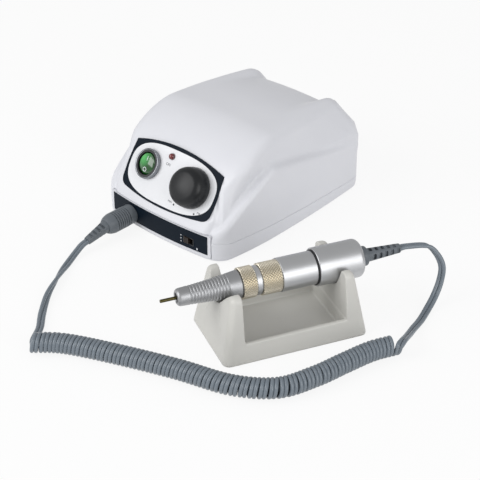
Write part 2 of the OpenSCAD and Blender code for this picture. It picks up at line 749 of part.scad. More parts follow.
// Foot pedal jack
jack_bore_d = 3.6;
jack_bore_l = 14;
module pedal_jack() {
    y = recess_y + rear_t;
    color(black) place_unit() translate([jack_at.x, y, jack_at.y]) rotate([-90, 0, 0]) difference() {
        union() {
            translate([0, 0, -rear_t - 0.1]) cylinder(d = jack_d, h = rear_t + 3.3);
            translate([-6, -6, -rear_t - 15.1]) cube([12, 12, 15]);
        }
        translate([0, 0, 3.2 - jack_bore_l]) cylinder(d = jack_bore_d, h = jack_bore_l + 1);
    }
}

module pedal_jack_nut() {
    color(steel) place_unit() translate([jack_at.x, recess_y + rear_t + 0.05, jack_at.y]) rotate([-90, 0, 0])
        difference() {
            cylinder(d = jack_d + 3.6, h = 2);
            translate([0, 0, -1]) cylinder(d = jack_d + 2 * run_gap, h = 4);
        }
}

// Handpiece: stations along its axis, nose to cord, from the middle of the rest
nose_s = -74.5;
nose_rib_s = -66;
nose_rib_end_s = -38;
nose_end_s = -30.4;
ring_s = -30;
neck_s = -20;
grip_s = -16;
sleeve_s = -2;
seal_s = 23.3;
motor_s = 24.3;
motor_end_s = 58.5;
boot_end_s = 90;
nose_tip_d = 12;
nose_root_d = 19.6;
nose_ribs = 13;
rib_deep = 0.45;
bearing_d = 10;
spindle_d = 6;
collet_d = 4;
spigot_d = 15;
spigot_s = -38;
barrel_bore_d = 16;
motor_bore_d = 24;
motor_spigot_d = 20.6;
motor_shaft_d = 3;

function nose_r(s) =
    let (t = (s - nose_s) / (nose_end_s - nose_s))
    nose_tip_d / 2 + (nose_root_d - nose_tip_d) / 2 * (0.45 * t + 0.55 * t * t);
module nose_cone() {
    pitch = (nose_rib_end_s - nose_rib_s) / nose_ribs;
    outer = concat(
        [for (a = [0 : 15 : 75]) [nose_tip_d / 2 - 2.4 + 2.4 * sin(a), nose_s + 2.4 - 2.4 * cos(a)]],
        [for (i = [0 : nose_ribs - 1]) let (s = nose_rib_s + i * pitch)
            each [[nose_r(s), s], [nose_r(s) - rib_deep, s + 0.15 * pitch],
                  [nose_r(s) - rib_deep, s + 0.4 * pitch], [nose_r(s), s + 0.55 * pitch]]],
        [for (i = [0 : 4]) let (s = nose_rib_end_s + (nose_end_s - nose_rib_end_s) * i / 4) [nose_r(s), s]]);
    color(steel) place_handpiece() difference() {
        turned(concat(outer, [[0, nose_end_s], [0, nose_s]]));
        translate([0, 0, nose_s - 1]) cylinder(d = spindle_d + 0.6, h = 60);
        translate([0, 0, nose_rib_s - 0.5]) cylinder(d = bearing_d + 2 * run_gap, h = 60);
        translate([0, 0, spigot_s]) cylinder(d = spigot_d + 2 * fit_gap, h = 30);
    }
}

module middle_sleeve() {
    r = sleeve_d / 2;
    color(steel) place_handpiece() difference() {
        turned([[0, spigot_s], [spigot_d / 2, spigot_s], [spigot_d / 2, ring_s],
                [ring_bore_d / 2 - run_gap, ring_s], [ring_bore_d / 2 - run_gap, neck_s],
                [neck_d / 2, neck_s], [neck_d / 2, grip_s], [ring_bore_d / 2 - run_gap, grip_s],
                [ring_bore_d / 2 - run_gap, sleeve_s + 0.05], [r - 0.4, sleeve_s + 0.05],
                [r, sleeve_s + 0.45], [r, seal_s], [0, seal_s]]);
        translate([0, 0, spigot_s - 1]) cylinder(d = bearing_d + 2 * run_gap, h = 90);
        translate([0, 0, sleeve_s - 8]) cylinder(d = barrel_bore_d, h = 90);
        translate([0, 0, motor_spigot_s - 1]) cylinder(d = motor_spigot_d + 2 * fit_gap, h = 90);
    }
}

// Two knurled rings on the sleeve: the front one turns and frees the tool, the rear one is fixed
ring_bore_d = 18.4;
neck_d = 20;
ring_d = 22.2;
grip_d_hand = 22.6;
module chuck_ring() {
    color("#a59c88") place_handpiece()
        knurl_blank(ring_d, ring_bore_d, ring_s + 0.1, neck_s - 0.1);
}

module grip_ring() {
    color("#a59c88") place_handpiece()
        knurl_blank(grip_d_hand, ring_bore_d, grip_s + 0.05, sleeve_s);
}

knurl_edge = 0.5;
module knurl_blank(d_out, d_in, s0, s1) {
    r = d_out / 2;
    turned([[d_in / 2, s0], [r - knurl_edge, s0], [r, s0 + knurl_edge], [r, s1 - knurl_edge],
            [r - knurl_edge, s1], [d_in / 2, s1]]);
}

seal_d = 25.4;
module seal_ring() {
    color(black) place_handpiece()
        tube(seal_d / 2, motor_spigot_d / 2 + run_gap, seal_s + 0.05, motor_s - 0.05);
}

motor_spigot_s = 12;
motor_wall_s = 30;
motor_edge = 3.2;
motor_mouth_s = motor_end_s - 2;
module motor_housing() {
    r = motor_d / 2;
    color("#c3c5c8") place_handpiece() difference() {
        turned(concat(
            [[0, motor_spigot_s], [motor_spigot_d / 2, motor_spigot_s], [motor_spigot_d / 2, motor_s],
             [r - 0.5, motor_s], [r, motor_s + 0.5]],
            [for (a = [0 : 15 : 90]) [r - motor_edge + motor_edge * cos(a),
                                      motor_end_s - motor_edge + motor_edge * sin(a)]],
            [[0, motor_end_s]]));
        translate([0, 0, motor_spigot_s - 1]) cylinder(d = barrel_bore_d, h = motor_s - motor_spigot_s);
        translate([0, 0, motor_s - 5]) cylinder(d = bearing_d + 2 * run_gap, h = 20);
        translate([0, 0, motor_wall_s]) cylinder(d = motor_bore_d, h = motor_mouth_s - motor_wall_s);
        translate([0, 0, motor_mouth_s - 1]) cylinder(d = boot_neck_d + 2 * fit_gap, h = 20);
    }
}

magnet_s = [31, 49];
cap_s = [50.5, 56.4];
module motor_end_cap() {
    color(black) place_handpiece() difference() {
        translate([0, 0, cap_s[0]]) cylinder(d = motor_bore_d - 2 * run_gap, h = cap_s[1] - cap_s[0]);
        translate([0, 0, cap_s[0] - 1]) cylinder(d = bearing_d + 2 * run_gap, h = 20);
        for (a = [0, 180]) rotate([0, 0, a]) translate([4, -1.6, cap_s[0] - 1]) cube([7, 3.2, 4]);
    }
}

brush = [5, 2.8, 2.6];
commutator_d = 7.6;
module carbon_brushes() {
    color("#2a2a2c") place_handpiece() for (a = [0, 180]) rotate([0, 0, a])
        translate([commutator_d / 2 + run_gap, -brush.y / 2, cap_s[0] + 0.1]) cube(brush);
}

module motor_magnets() {
    color("#3c3d40") place_handpiece() for (a = [0, 180]) rotate([0, 0, a]) intersection() {
        tube(motor_bore_d / 2 - run_gap, rotor_d / 2 + 0.7, magnet_s[0], magnet_s[1]);
        rotate([0, 0, 45]) translate([0, 0, magnet_s[0] - 1]) cube([20, 20, 40]);
    }
}

rotor_d = 17;
rotor_s = [33, 47];
winding_d = 14.5;
module rotor_core() {
    color("#84878b") place_handpiece() difference() {
        tube(rotor_d / 2, motor_shaft_d / 2 + run_gap, rotor_s[0], rotor_s[1]);
        for (a = [0 : 60 : 300]) rotate([0, 0, a]) translate([5.4, -0.9, 0]) cube([6, 1.8, 80]);
    }
}

module rotor_winding() {
    color("#b0602c") place_handpiece() union() {
        tube(winding_d / 2, motor_shaft_d / 2 + 0.3, rotor_s[0] - 2, rotor_s[0] - 0.05);
        tube(winding_d / 2, motor_shaft_d / 2 + 0.3, rotor_s[1] + 0.05, rotor_s[1] + 2);
        for (a = [0 : 60 : 300]) rotate([0, 0, a]) translate([5.5, -0.8, rotor_s[0] - 1])
            cube([1.6, 1.6, rotor_s[1] - rotor_s[0] + 2]);
    }
}

module commutator() {
    color(brass) place_handpiece()
        tube(commutator_d / 2, motor_shaft_d / 2 + run_gap, rotor_s[1] + 2.3, cap_s[0] + 3.2);
}

module motor_shaft() {
    color(steel) place_handpiece() translate([0, 0, coupling_s[0] + 7])
        cylinder(d = motor_shaft_d, h = cap_s[1] - 0.3 - coupling_s[0] - 7);
}

bearing_w = 2.4;
module bearing(bore, s) { tube(bearing_d / 2, bore / 2 + run_gap, s, s + bearing_w); }
module motor_bearings() {
    color(steel) place_handpiece() {
        bearing(motor_shaft_d, motor_s + 1);
        bearing(motor_shaft_d, cap_s[1] - bearing_w - 0.2);
    }
}

coupling_s = [-10, 6];
coupling_d = 10;
module drive_coupling() {
    color("#4a4c50") place_handpiece() difference() {
        translate([0, 0, coupling_s[0]]) cylinder(d = coupling_d, h = coupling_s[1] - coupling_s[0]);
        translate([0, 0, coupling_s[0] - 1]) cylinder(d = spindle_d + 2 * run_gap, h = 7);
        translate([0, 0, coupling_s[0] + 6.5]) cylinder(d = motor_shaft_d + 2 * run_gap, h = 20);
    }
}

collet_back_s = -50;
module spindle() {
    color("#9a9da1") place_handpiece() difference() {
        translate([0, 0, nose_s + 1.5]) cylinder(d = spindle_d, h = coupling_s[0] + 5.5 - nose_s - 1.5);
        translate([0, 0, nose_s]) cylinder(d = collet_d + 2 * run_gap, h = collet_back_s + 1 - nose_s);
    }
}

module spindle_bearings() {
    color(steel) place_handpiece() {
        bearing(spindle_d, nose_rib_s);
        bearing(spindle_d, spigot_s + 1);
    }
}

module collet() {
    color("#8b8064") place_handpiece()
        tube(collet_d / 2, shank_d / 2 + run_gap, nose_s + 1.2, collet_back_s - 1);
}

shank_in = 20;
module tool_shank() {
    color(brass) place_handpiece() translate([0, 0, nose_s - shank_out])
        cylinder(d = shank_d, h = shank_out + shank_in);
}

// Slotted boot where the cord enters the handpiece
boot_collar_d = 14;
boot_neck_d = 9;
boot_collar_l = 5.5;
boot_d = [9.6, 6.6];
boot_slots = 6;
module cord_boot() {
    start = motor_end_s + 0.05;
    first = start + boot_collar_l + 1.5;
    step = (boot_end_s - first - 1.5) / boot_slots;
    taper = (boot_d[0] - boot_d[1]) / 2 / (boot_end_s - first);
    profile = concat(
        [[0, motor_mouth_s + 0.2], [boot_neck_d / 2, motor_mouth_s + 0.2], [boot_neck_d / 2, start],
         [boot_collar_d / 2, start], [boot_collar_d / 2, start + boot_collar_l - 1.2],
         [boot_collar_d / 2 - 1.2, start + boot_collar_l], [boot_d[0] / 2, start + boot_collar_l]],
        [for (i = [0 : boot_slots - 1]) let (s = first + i * step, r = boot_d[0] / 2 - taper * (s - first))
            each [[r, s], [r - 1.1, s], [r - 1.1, s + 0.35 * step], [r, s + 0.35 * step]]],
        [[boot_d[1] / 2, boot_end_s], [0, boot_end_s]]);
    color(cord_grey) place_handpiece() turned(profile);
}

// Handpiece rest: a tapered block, hollowed, open along both sides, notched at both ends
rest_top = [90, 50];
rest_round = 4.5;
rest_corner = 5;
rest_wall = 3.4;
end_inner = 36.5;
rear_notch_r = motor_d / 2 + seat_gap;
front_flank = 45;
rear_flank = 26;
rest_draft = (rest_w - rest_top.y) / 2 / rest_h;
module notch(r, flank) {
    foot = r * [cos(flank), -sin(flank)];
    way = 40 * [sin(flank), cos(flank)];
    translate([0, axis_z]) union() {
        circle(r);
        polygon([left_of(foot), foot, foot + way, left_of(foot + way)]);
    }
}

module handpiece_rest() {
    nose_seat_r = nose_r(-end_inner) + seat_gap;
    color("#cfcdc8") place_rest() difference() {
        hull() {
            for (sx = [-1, 1], sy = [-1, 1]) {
                translate([sx * (rest_l / 2 - rest_corner), sy * (rest_w / 2 - rest_corner), 0])
                    cylinder(r = rest_corner, h = 0.8, $fn = 32);
                translate([sx * (rest_top.x / 2 - rest_round), sy * (rest_top.y / 2 - rest_round),
                           rest_h - rest_round])
                    sphere(r = rest_round, $fn = 24);
            }
        }
        translate([-end_inner, -rest_w / 2 + rest_wall + rim_h * rest_draft, rest_wall])
            cube([2 * end_inner, rest_w - 2 * (rest_wall + rim_h * rest_draft), 80]);
        translate([-end_inner - 0.5, -60, rim_h]) cube([2 * end_inner + 1, 120, 80]);
        translate([-70, 0, 0]) rotate([90, 0, 90]) linear_extrude(70) notch(nose_seat_r, front_flank);
        rotate([90, 0, 90]) linear_extrude(70) notch(rear_notch_r, rear_flank);
    }
}

// Cord: a flat twin section swept along hand-laid points, with a curly stretch that winds about its axis
coil_z = coil_d / 2 + 0.4;
wind_r = (coil_d - cord_t) / 2;
coil_route = [[-22, -193], [-6, -180], [24, -166], [68, -149], [106, -137], [130, -119], [140, -94],
              [145, -70], [150, -48], [157, -32]];
lead_points = [[-90, -96, 3], [-87, -104, 1.8], [-81, -116, 1.7], [-74, -128, 1.7], [-63, -146, 1.7],
               [-49, -163, 1.7], [-38, -174.5, 1.7]];
tail_points = [[148.5, -26.5, 12.5], [147, -18, 9], [148, -6, 4.5], [148, 8, 2.2], [145, 22, 2.6],
               [143, 33, 8], [142, 40, 17], [140.5, 43, 27], [135, 43, 35], [128.5, 39.5, 40.5]];
rings_a_curl = 8;
run_steps = 3;

function unit(v) = v / norm(v);

// Smooth curve through a list of points, t from 0 to the last point's index
function knot(points, i) =
    i < 0 ? 2 * points[0] - points[1]
        : i >= len(points) ? 2 * points[len(points) - 1] - points[len(points) - 2] : points[i];
function curve(points, t) =
    let (i = min(floor(t), len(points) - 2), f = t - i, a = knot(points, i - 1), b = knot(points, i),
         c = knot(points, i + 1), d = knot(points, i + 2))
    0.5 * (2 * b + (c - a) * f + (2 * a - 5 * b + 4 * c - d) * f * f
           + (3 * b - a - 3 * c + d) * f * f * f);

// Even steps along the curl's axis, by the lengths of short chords
axis_chords = 20 * (len(coil_route) - 1);
axis_points = [for (i = [0 : axis_chords]) curve(coil_route, i / 20)];
axis_lengths = [for (i = 0, run = 0; i <= axis_chords; i = i + 1,
                     run = run + (i <= axis_chords ? norm(axis_points[i] - axis_points[i - 1]) : 0)) run];
function axis_spot(run, lo, hi) =
    let (mid = floor((lo + hi) / 2))
    hi - lo < 2 ? let (f = (run - axis_lengths[lo]) / (axis_lengths[hi] - axis_lengths[lo]))
                  axis_points[lo] + (axis_points[hi] - axis_points[lo]) * f
        : run < axis_lengths[mid] ? axis_spot(run, lo, mid) : axis_spot(run, mid, hi);
coil_run = axis_lengths[axis_chords];
coil_steps = rings_a_curl * curls + rings_a_curl / 2;

// Point of the winding at step k, which starts under the axis and ends over it
function coil_way(k) =
    let (run = coil_run * k / coil_steps)
    unit(axis_spot(min(run + 1, coil_run), 0, axis_chords) - axis_spot(max(run - 1, 0), 0, axis_chords));
function coil_out_way(k) =
    let (w = coil_way(k), a = 360 * k / rings_a_curl - 90)
    [cos(a) * w.y, -cos(a) * w.x, sin(a)];
function coil_point(k) =
    let (c = axis_spot(coil_run * min(max(k, 0), coil_steps) / coil_steps, 0, axis_chords))
    [c.x, c.y, coil_z] + wind_r * coil_out_way(k);
function coil_heading(k) = unit(coil_point(min(k + 0.1, coil_steps)) - coil_point(max(k - 0.1, 0)));
coil_start = coil_point(0) - cord_w * coil_heading(0);
coil_finish = coil_point(coil_steps) + cord_w * coil_heading(coil_steps);

// Ring of a flat section across a heading, its width laid along side
function flat_ring(at, heading, side, sides) =
    let (across = unit(side - heading * (side * heading)), rise = cross(across, heading),
         half_t = cord_t / 2 / (sides == 6 ? sin(60) : 1))
    [for (i = [0 : sides - 1]) let (a = 360 * i / sides)
        at + across * (cord_w / 2 * cos(a)) + rise * (half_t * sin(a))];

module swept(rings) {
    n = len(rings[0]);
    m = len(rings);
    polyhedron([for (ring = rings) each ring], concat(
        [for (k = [0 : m - 2]) for (i = [0 : n - 1]) let (j = (i + 1) % n)
            each [[k * n + i, k * n + j, k * n + n + j], [k * n + i, k * n + n + j, k * n + n + i]]],
        [for (i = [1 : n - 2]) [0, i + 1, i]],
        [for (i = [1 : n - 2]) [(m - 1) * n, (m - 1) * n + i, (m - 1) * n + i + 1]]));
}

// A free stretch from one end to the other, straight for a cord's width at both ends
module free_run(start, start_way, points, finish, finish_way) {
    route = concat([start, start + cord_w * start_way], points, [finish - cord_w * finish_way, finish]);
    last = (len(route) - 1) * run_steps;
    rings = [for (k = [0 : last]) let (t = k / run_steps)
             flat_ring(curve(route, t),
                       k == 0 ? start_way : k == last ? finish_way
                           : unit(curve(route, t + 0.02) - curve(route, t - 0.02)), [1, 0, 0], 8)];
    swept(rings);
}

relief_way = [0, -cos(relief_droop), -sin(relief_droop)];
relief_end = unit_at + [socket_at.x, chin_y(socket_at.x) - plug_gap - grip_l, socket_at.y]
             + relief_l * relief_way;
boot_way = [cos(rest_yaw), sin(rest_yaw), 0];
boot_end = rest_at + boot_end_s * boot_way + [0, 0, axis_z];

module cord_lead() {
    color(cord_grey) free_run(relief_end, relief_way, lead_points, coil_start, coil_heading(0));
}

module cord_coil() {
    middle = [for (k = [0 : coil_steps]) flat_ring(coil_point(k), coil_heading(k),
              cross(coil_heading(k), coil_out_way(k)), 6)];
    first = flat_ring(coil_start, coil_heading(0), cross(coil_heading(0), coil_out_way(0)), 6);
    last = flat_ring(coil_finish, coil_heading(coil_steps),
                     cross(coil_heading(coil_steps), coil_out_way(coil_steps)), 6);
    color(cord_grey) swept(concat([first], middle, [last]));
    gaps = [for (k = [0 : coil_steps - rings_a_curl]) for (m = [-1 : 1])
            let (other = k + rings_a_curl + m) if (other <= coil_steps)
            min([for (p = middle[k], q = middle[other]) norm(p - q)])];
    echo(str("least gap between curls, mm: ", min(gaps)));
}

module cord_tail() {
    color(cord_grey) free_run(coil_finish, coil_heading(coil_steps), tail_points, boot_end, -boot_way);
}

base_tray();
top_housing();
chin_plate();
chin_overlay();
panel_border();
panel_face();
power_switch();
power_rocker();
indicator_lamp();
speed_knob();
speed_control();
speed_control_shaft();
speed_control_nut();
handpiece_socket();
direction_switch();
direction_slider();
control_board();
board_capacitors();
heat_sink();
board_screws();
transformer_core();
transformer_coil();
rear_panel();
rear_panel_screws();
mains_inlet();
inlet_pins();
pedal_jack();
pedal_jack_nut();
rubber_feet();
base_screws();
plug_grip();
plug_shield();
plug_pins();
cord_lead();
cord_coil();
cord_tail();
nose_cone();
chuck_ring();
grip_ring();
middle_sleeve();
seal_ring();
motor_housing();
motor_end_cap();
cord_boot();
spindle();
spindle_bearings();
collet();
tool_shank();
drive_coupling();
motor_shaft();
rotor_core();
rotor_winding();
commutator();
motor_magnets();
motor_bearings();
carbon_brushes();
handpiece_rest();
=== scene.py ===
import math
import bpy
import numpy as np
from mathutils import Matrix, Vector


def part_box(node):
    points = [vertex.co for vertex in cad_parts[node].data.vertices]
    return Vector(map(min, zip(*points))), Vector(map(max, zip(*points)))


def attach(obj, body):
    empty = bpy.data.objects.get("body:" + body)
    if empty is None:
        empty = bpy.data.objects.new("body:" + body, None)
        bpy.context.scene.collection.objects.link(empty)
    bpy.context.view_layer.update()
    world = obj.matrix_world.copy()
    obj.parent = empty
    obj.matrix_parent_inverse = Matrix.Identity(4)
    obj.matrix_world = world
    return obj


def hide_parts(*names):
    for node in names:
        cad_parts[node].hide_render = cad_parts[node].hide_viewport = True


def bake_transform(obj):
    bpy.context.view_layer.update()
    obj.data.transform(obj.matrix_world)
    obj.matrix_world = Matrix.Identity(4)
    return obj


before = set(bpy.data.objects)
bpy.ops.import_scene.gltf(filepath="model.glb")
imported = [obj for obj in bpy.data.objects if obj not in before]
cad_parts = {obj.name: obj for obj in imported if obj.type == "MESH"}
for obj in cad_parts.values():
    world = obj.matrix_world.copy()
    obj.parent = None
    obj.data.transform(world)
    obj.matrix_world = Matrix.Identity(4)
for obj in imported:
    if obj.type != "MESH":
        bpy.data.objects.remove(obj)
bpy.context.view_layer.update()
scene = bpy.context.scene
mm = 0.001
unitAt = np.array([-63.25, 49.0, 0.0])   # the control unit's middle on the table, mm
restAt = np.array([79.0, -59.0, 0.0])    # the rest's middle on the table
restYaw = math.radians(64.5)
axisHeight = 42.0                        # handpiece axis over the table
plugDroop = math.radians(13)             # hang of the plug's strain relief
print("frame loaded,", len(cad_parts), "nodes")

# Camera: solved from the unit's straight edges, for a square frame
shot = {"azimuth": 42.67, "elevation": 32.09, "focalPx": 1362, "framePx": 480, "sensor": 36,
        "distance": 976.7, "target": (16.5, -31.0, 30.0)}
azimuth, elevation = math.radians(shot["azimuth"]), math.radians(shot["elevation"])
backWay = Vector((math.sin(azimuth) * math.cos(elevation),
                  -math.cos(azimuth) * math.cos(elevation), math.sin(elevation)))
bpy.ops.object.camera_add(location=(Vector(shot["target"]) + backWay * shot["distance"]) * mm,
                          rotation=backWay.to_track_quat("Z", "Y").to_euler())
camera = bpy.context.object
camera.data.sensor_width = shot["sensor"]
camera.data.lens = shot["focalPx"] / shot["framePx"] * shot["sensor"]
camera.data.clip_start = 0.01
scene.camera = camera


def deselectAll():
    if bpy.context.object and bpy.context.object.mode != "OBJECT":
        bpy.ops.object.mode_set(mode="OBJECT")
    bpy.ops.object.select_all(action="DESELECT")


def onlySelect(piece):
    deselectAll()
    piece.select_set(True)
    bpy.context.view_layer.objects.active = piece


def fromPoints(name, points, faces):
    # a mesh from points in mm in the part's own frame
    mesh = bpy.data.meshes.new(name)
    mesh.from_pydata([tuple(p) for p in np.asarray(points) * mm], [], faces)
    mesh.update()
    piece = bpy.data.objects.new(name, mesh)
    scene.collection.objects.link(piece)
    return piece


def bandFaces(count, n):
    # the faces between rings of n points each
    return [(k * n + i, k * n + (i + 1) % n, (k + 1) * n + (i + 1) % n, (k + 1) * n + i)
            for k in range(count - 1) for i in range(n)]


def smooth(piece, degrees=35):
    onlySelect(piece)
    bpy.ops.object.shade_smooth_by_angle(angle=math.radians(degrees))


def settle(piece, place=None):
    # puts the place into the mesh, so that the object sits at the origin
    onlySelect(piece)
    bpy.ops.object.transform_apply(location=True, rotation=True, scale=True)
    if place is not None:
        piece.data.transform(place)


def mergeAndFaceOut(piece, distance=0.002):
    onlySelect(piece)
    bpy.ops.object.mode_set(mode="EDIT")
    bpy.ops.mesh.select_all(action="SELECT")
    bpy.ops.mesh.remove_doubles(threshold=distance * mm)
    bpy.ops.mesh.normals_make_consistent(inside=False)
    bpy.ops.object.mode_set(mode="OBJECT")


def applyAll(piece):
    onlySelect(piece)
    for modifier in list(piece.modifiers):
        bpy.ops.object.modifier_apply(modifier=modifier.name)


def boolean(piece, other, how="DIFFERENCE"):
    # cuts with, or adds, another closed mesh and then deletes it
    modifier = piece.modifiers.new("cut", "BOOLEAN")
    modifier.solver = "MANIFOLD"
    modifier.operation = how
    modifier.object = other
    applyAll(piece)
    bpy.data.objects.remove(other)


def box(low, high, place=None):
    # a cutter block between two corners, mm
    deselectAll()
    low, high = Vector(low), Vector(high)
    bpy.ops.mesh.primitive_cube_add(size=1, location=(low + high) / 2 * mm, scale=(high - low) * mm)
    block = bpy.context.object
    settle(block, place)
    return block


def rod(radius, foot, height, place=None, sides=48):
    # a cutter cylinder that stands on foot, mm
    deselectAll()
    bpy.ops.mesh.primitive_cylinder_add(vertices=sides, radius=radius * mm, depth=height * mm,
                                        location=(Vector(foot) + Vector((0, 0, height / 2))) * mm)
    stick = bpy.context.object
    settle(stick, place)
    return stick


def nodeCopy(node):
    # a merged copy of a CAD node's mesh
    copy = bpy.data.objects.new(node + "Copy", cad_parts[node].data.copy())
    scene.collection.objects.link(copy)
    copy.data.materials.clear()
    mergeAndFaceOut(copy, 0.0005)
    return copy


def lathe(name, profile, place, steps, degrees=None):
    # a profile of radius and height in mm, extruded point by point and spun about its own Z
    deselectAll()
    bpy.ops.mesh.primitive_plane_add(size=mm)
    piece = bpy.context.object
    piece.name = piece.data.name = name
    bpy.ops.object.mode_set(mode="EDIT")
    bpy.ops.mesh.merge(type="CENTER")
    bpy.ops.transform.translate(value=(profile[0][0] * mm, 0, profile[0][1] * mm))
    for before, after in zip(profile, profile[1:]):
        step = ((after[0] - before[0]) * mm, 0, (after[1] - before[1]) * mm)
        bpy.ops.mesh.extrude_region_move(TRANSFORM_OT_translate={"value": step})
    bpy.ops.mesh.select_all(action="SELECT")
    bpy.ops.mesh.spin(steps=steps, angle=2 * math.pi, center=(0, 0, 0), axis=(0, 0, 1))
    bpy.ops.object.mode_set(mode="OBJECT")
    mergeAndFaceOut(piece)
    settle(piece, place)
    if degrees:
        smooth(piece, degrees)
    return piece


def arc(middle, radius, start, end, count):
    # points of a rounded edge for a lathe profile, degrees
    return [(middle[0] + radius * math.cos(math.radians(a)), middle[1] + radius * math.sin(math.radians(a)))
            for a in np.linspace(start, end, count)]


def joinAs(name, parts):
    deselectAll()
    for part in parts:
        part.select_set(True)
    bpy.context.view_layer.objects.active = parts[0]
    bpy.ops.object.join()
    parts[0].name = parts[0].data.name = name
    return parts[0]


unitPlace = Matrix.Translation(Vector(unitAt) * mm)
handpiecePlace = (Matrix.Translation((restAt[0] * mm, restAt[1] * mm, axisHeight * mm))
                  @ Matrix.Rotation(restYaw, 4, "Z") @ Matrix.Rotation(math.pi / 2, 4, "Y"))

# Free cord: a flat twin lead with a curly stretch, from the plug round the rest to the handpiece
cordValues = {
    "width": 5.7, "thick": 2.9, "endRun": 2.0, "coilWidth": 14.4, "coilLift": 0.4, "curls": 44.25,
    "ringsACurl": 24, "lobeSteps": 9, "axisSteps": 20, "spanSteps": 10, "levelEnds": 0.4,
    "coilRoute": [(-22, -193), (-6, -180), (24, -166), (68, -149), (106, -137), (130, -119), (140, -94),
                  (145, -70), (150, -48), (157, -32)],
    "lead": [(-90, -96, 3), (-87, -104, 1.8), (-81, -116, 1.7), (-74, -128, 1.7), (-63, -146, 1.7),
             (-49, -163, 1.7), (-38, -174.5, 1.7)],
    "tail": [(161.4, -28, 11.4), (157, -16, 7.4), (152.6, -4, 4.2), (149, 9, 2.4), (145, 22, 2.6),
             (143, 33, 8), (142, 40, 17), (140.5, 43, 27), (135, 43, 35), (128.5, 39.5, 40.5)],
    "reliefEnd": (-91.4, -82.611, 7.026), "reliefWay": (0, -math.cos(plugDroop), -math.sin(plugDroop)),
    "bootEndAlong": 90.0, "twist": (0.3, 0.8), "edgeLift": 1.3,
}


def throughPoints(points, steps):
    # a smooth curve through points, with steps chords a span
    p = np.array(points, float)
    p = np.vstack([2 * p[0] - p[1], p, 2 * p[-1] - p[-2]])
    t = np.linspace(0, 1, steps, endpoint=False)[:, None]
    spans = [0.5 * (2 * b + (c - a) * t + (2 * a - 5 * b + 4 * c - d) * t ** 2
                    + (3 * b - a - 3 * c + d) * t ** 3) for a, b, c, d in zip(p, p[1:], p[2:], p[3:])]
    return np.vstack(spans + [p[-2:-1]])


def unitRows(v):
    return v / np.linalg.norm(v, axis=1, keepdims=True)


def headingsOf(path):
    return unitRows(np.gradient(path, axis=0))


def twinSection():
    # outline of two round conductors side by side, joined at a neck: width along x, thickness along y
    r = cordValues["thick"] / 2
    offset = cordValues["width"] / 2 - r
    neck = math.pi - math.acos(offset / r)
    turns = np.linspace(-neck, neck, cordValues["lobeSteps"])
    right = [(offset + r * math.cos(t), r * math.sin(t)) for t in turns]
    left = [(-x, -y) for x, y in right]
    return np.array(right[:-1] + left[:-1])


def sweepTwin(name, path, sides):
    headings = headingsOf(path)
    across = unitRows(sides - headings * np.sum(sides * headings, axis=1, keepdims=True))
    rise = np.cross(across, headings)
    section = twinSection()
    rings = (path[:, None, :] + across[:, None, :] * section[None, :, :1]
             + rise[:, None, :] * section[None, :, 1:])
    count, n = rings.shape[:2]
    faces = bandFaces(count, n)
    faces += [tuple(range(n))[::-1], tuple((count - 1) * n + i for i in range(n))]
    piece = fromPoints(name, rings.reshape(-1, 3), faces)
    mergeAndFaceOut(piece, 0.0001)
    smooth(piece, 50)
    return piece


def coilPath():
    # points of the winding and the way outwards at each of them
    axis = throughPoints(cordValues["coilRoute"], cordValues["axisSteps"])
    run = np.concatenate([[0], np.cumsum(np.linalg.norm(np.diff(axis, axis=0), axis=1))])

    def spot(s):
        return np.stack([np.interp(s, run, axis[:, 0]), np.interp(s, run, axis[:, 1])], axis=1)

    turns = cordValues["curls"]
    t = np.linspace(0, turns, int(turns * cordValues["ringsACurl"]) + 1)
    s = run[-1] * t / turns
    way = unitRows(spot(np.minimum(s + 1, run[-1])) - spot(np.maximum(s - 1, 0)))
    turn = 2 * np.pi * t - np.pi / 2
    out = np.stack([np.cos(turn) * way[:, 1], -np.cos(turn) * way[:, 0], np.sin(turn)], axis=1)
    height = cordValues["coilWidth"] / 2 + cordValues["coilLift"]
    middle = np.concatenate([spot(s), np.full((len(s), 1), height)], axis=1)
    return middle + (cordValues["coilWidth"] - cordValues["thick"]) / 2 * out, out


def pathLength(path):
    return float(np.sum(np.linalg.norm(np.diff(path, axis=0), axis=1))) * mm


winding, windingOut = coilPath()
windingWay = headingsOf(winding)
cordWidth = cordValues["width"]
startWay = unitRows(windingWay[:1] * np.array([1.0, 1.0, 0.0]))[0]  # level with the table
coilStart = winding[0] - cordWidth * startWay
coilFinish = winding[-1] + cordValues["endRun"] * windingWay[-1]
handpieceWay = np.array([math.cos(restYaw), math.sin(restYaw), 0.0])
reliefEnd, reliefWay = np.array(cordValues["reliefEnd"]), np.array(cordValues["reliefWay"])
bootEnd = restAt + np.array([0, 0, axisHeight]) + cordValues["bootEndAlong"] * handpieceWay
leadPath = throughPoints([reliefEnd, reliefEnd + cordWidth * reliefWay]
                         + [np.array(p) for p in cordValues["lead"]]
                         + [coilStart - cordWidth * startWay, coilStart], cordValues["spanSteps"])
tailPath = throughPoints([coilFinish, coilFinish + cordValues["endRun"] * windingWay[-1]]
                         + [np.array(p) for p in cordValues["tail"]]
                         + [bootEnd + cordWidth * handpieceWay, bootEnd], cordValues["spanSteps"])
windingSide = np.cross(windingWay, windingOut)
flatSide = np.array([1.0, 0.0, 0.0])


def easeSides(first, last, count):
    # turns the flat cord from one lie to the other along a stretch
    if np.dot(first, last) < 0:
        last = -last
    level = cordValues["levelEnds"]
    t = np.clip(np.linspace(-level, 1 + level, count), 0, 1)[:, None]
    t = t * t * (3 - 2 * t)
    return unitRows(first * (1 - t) + last * t)


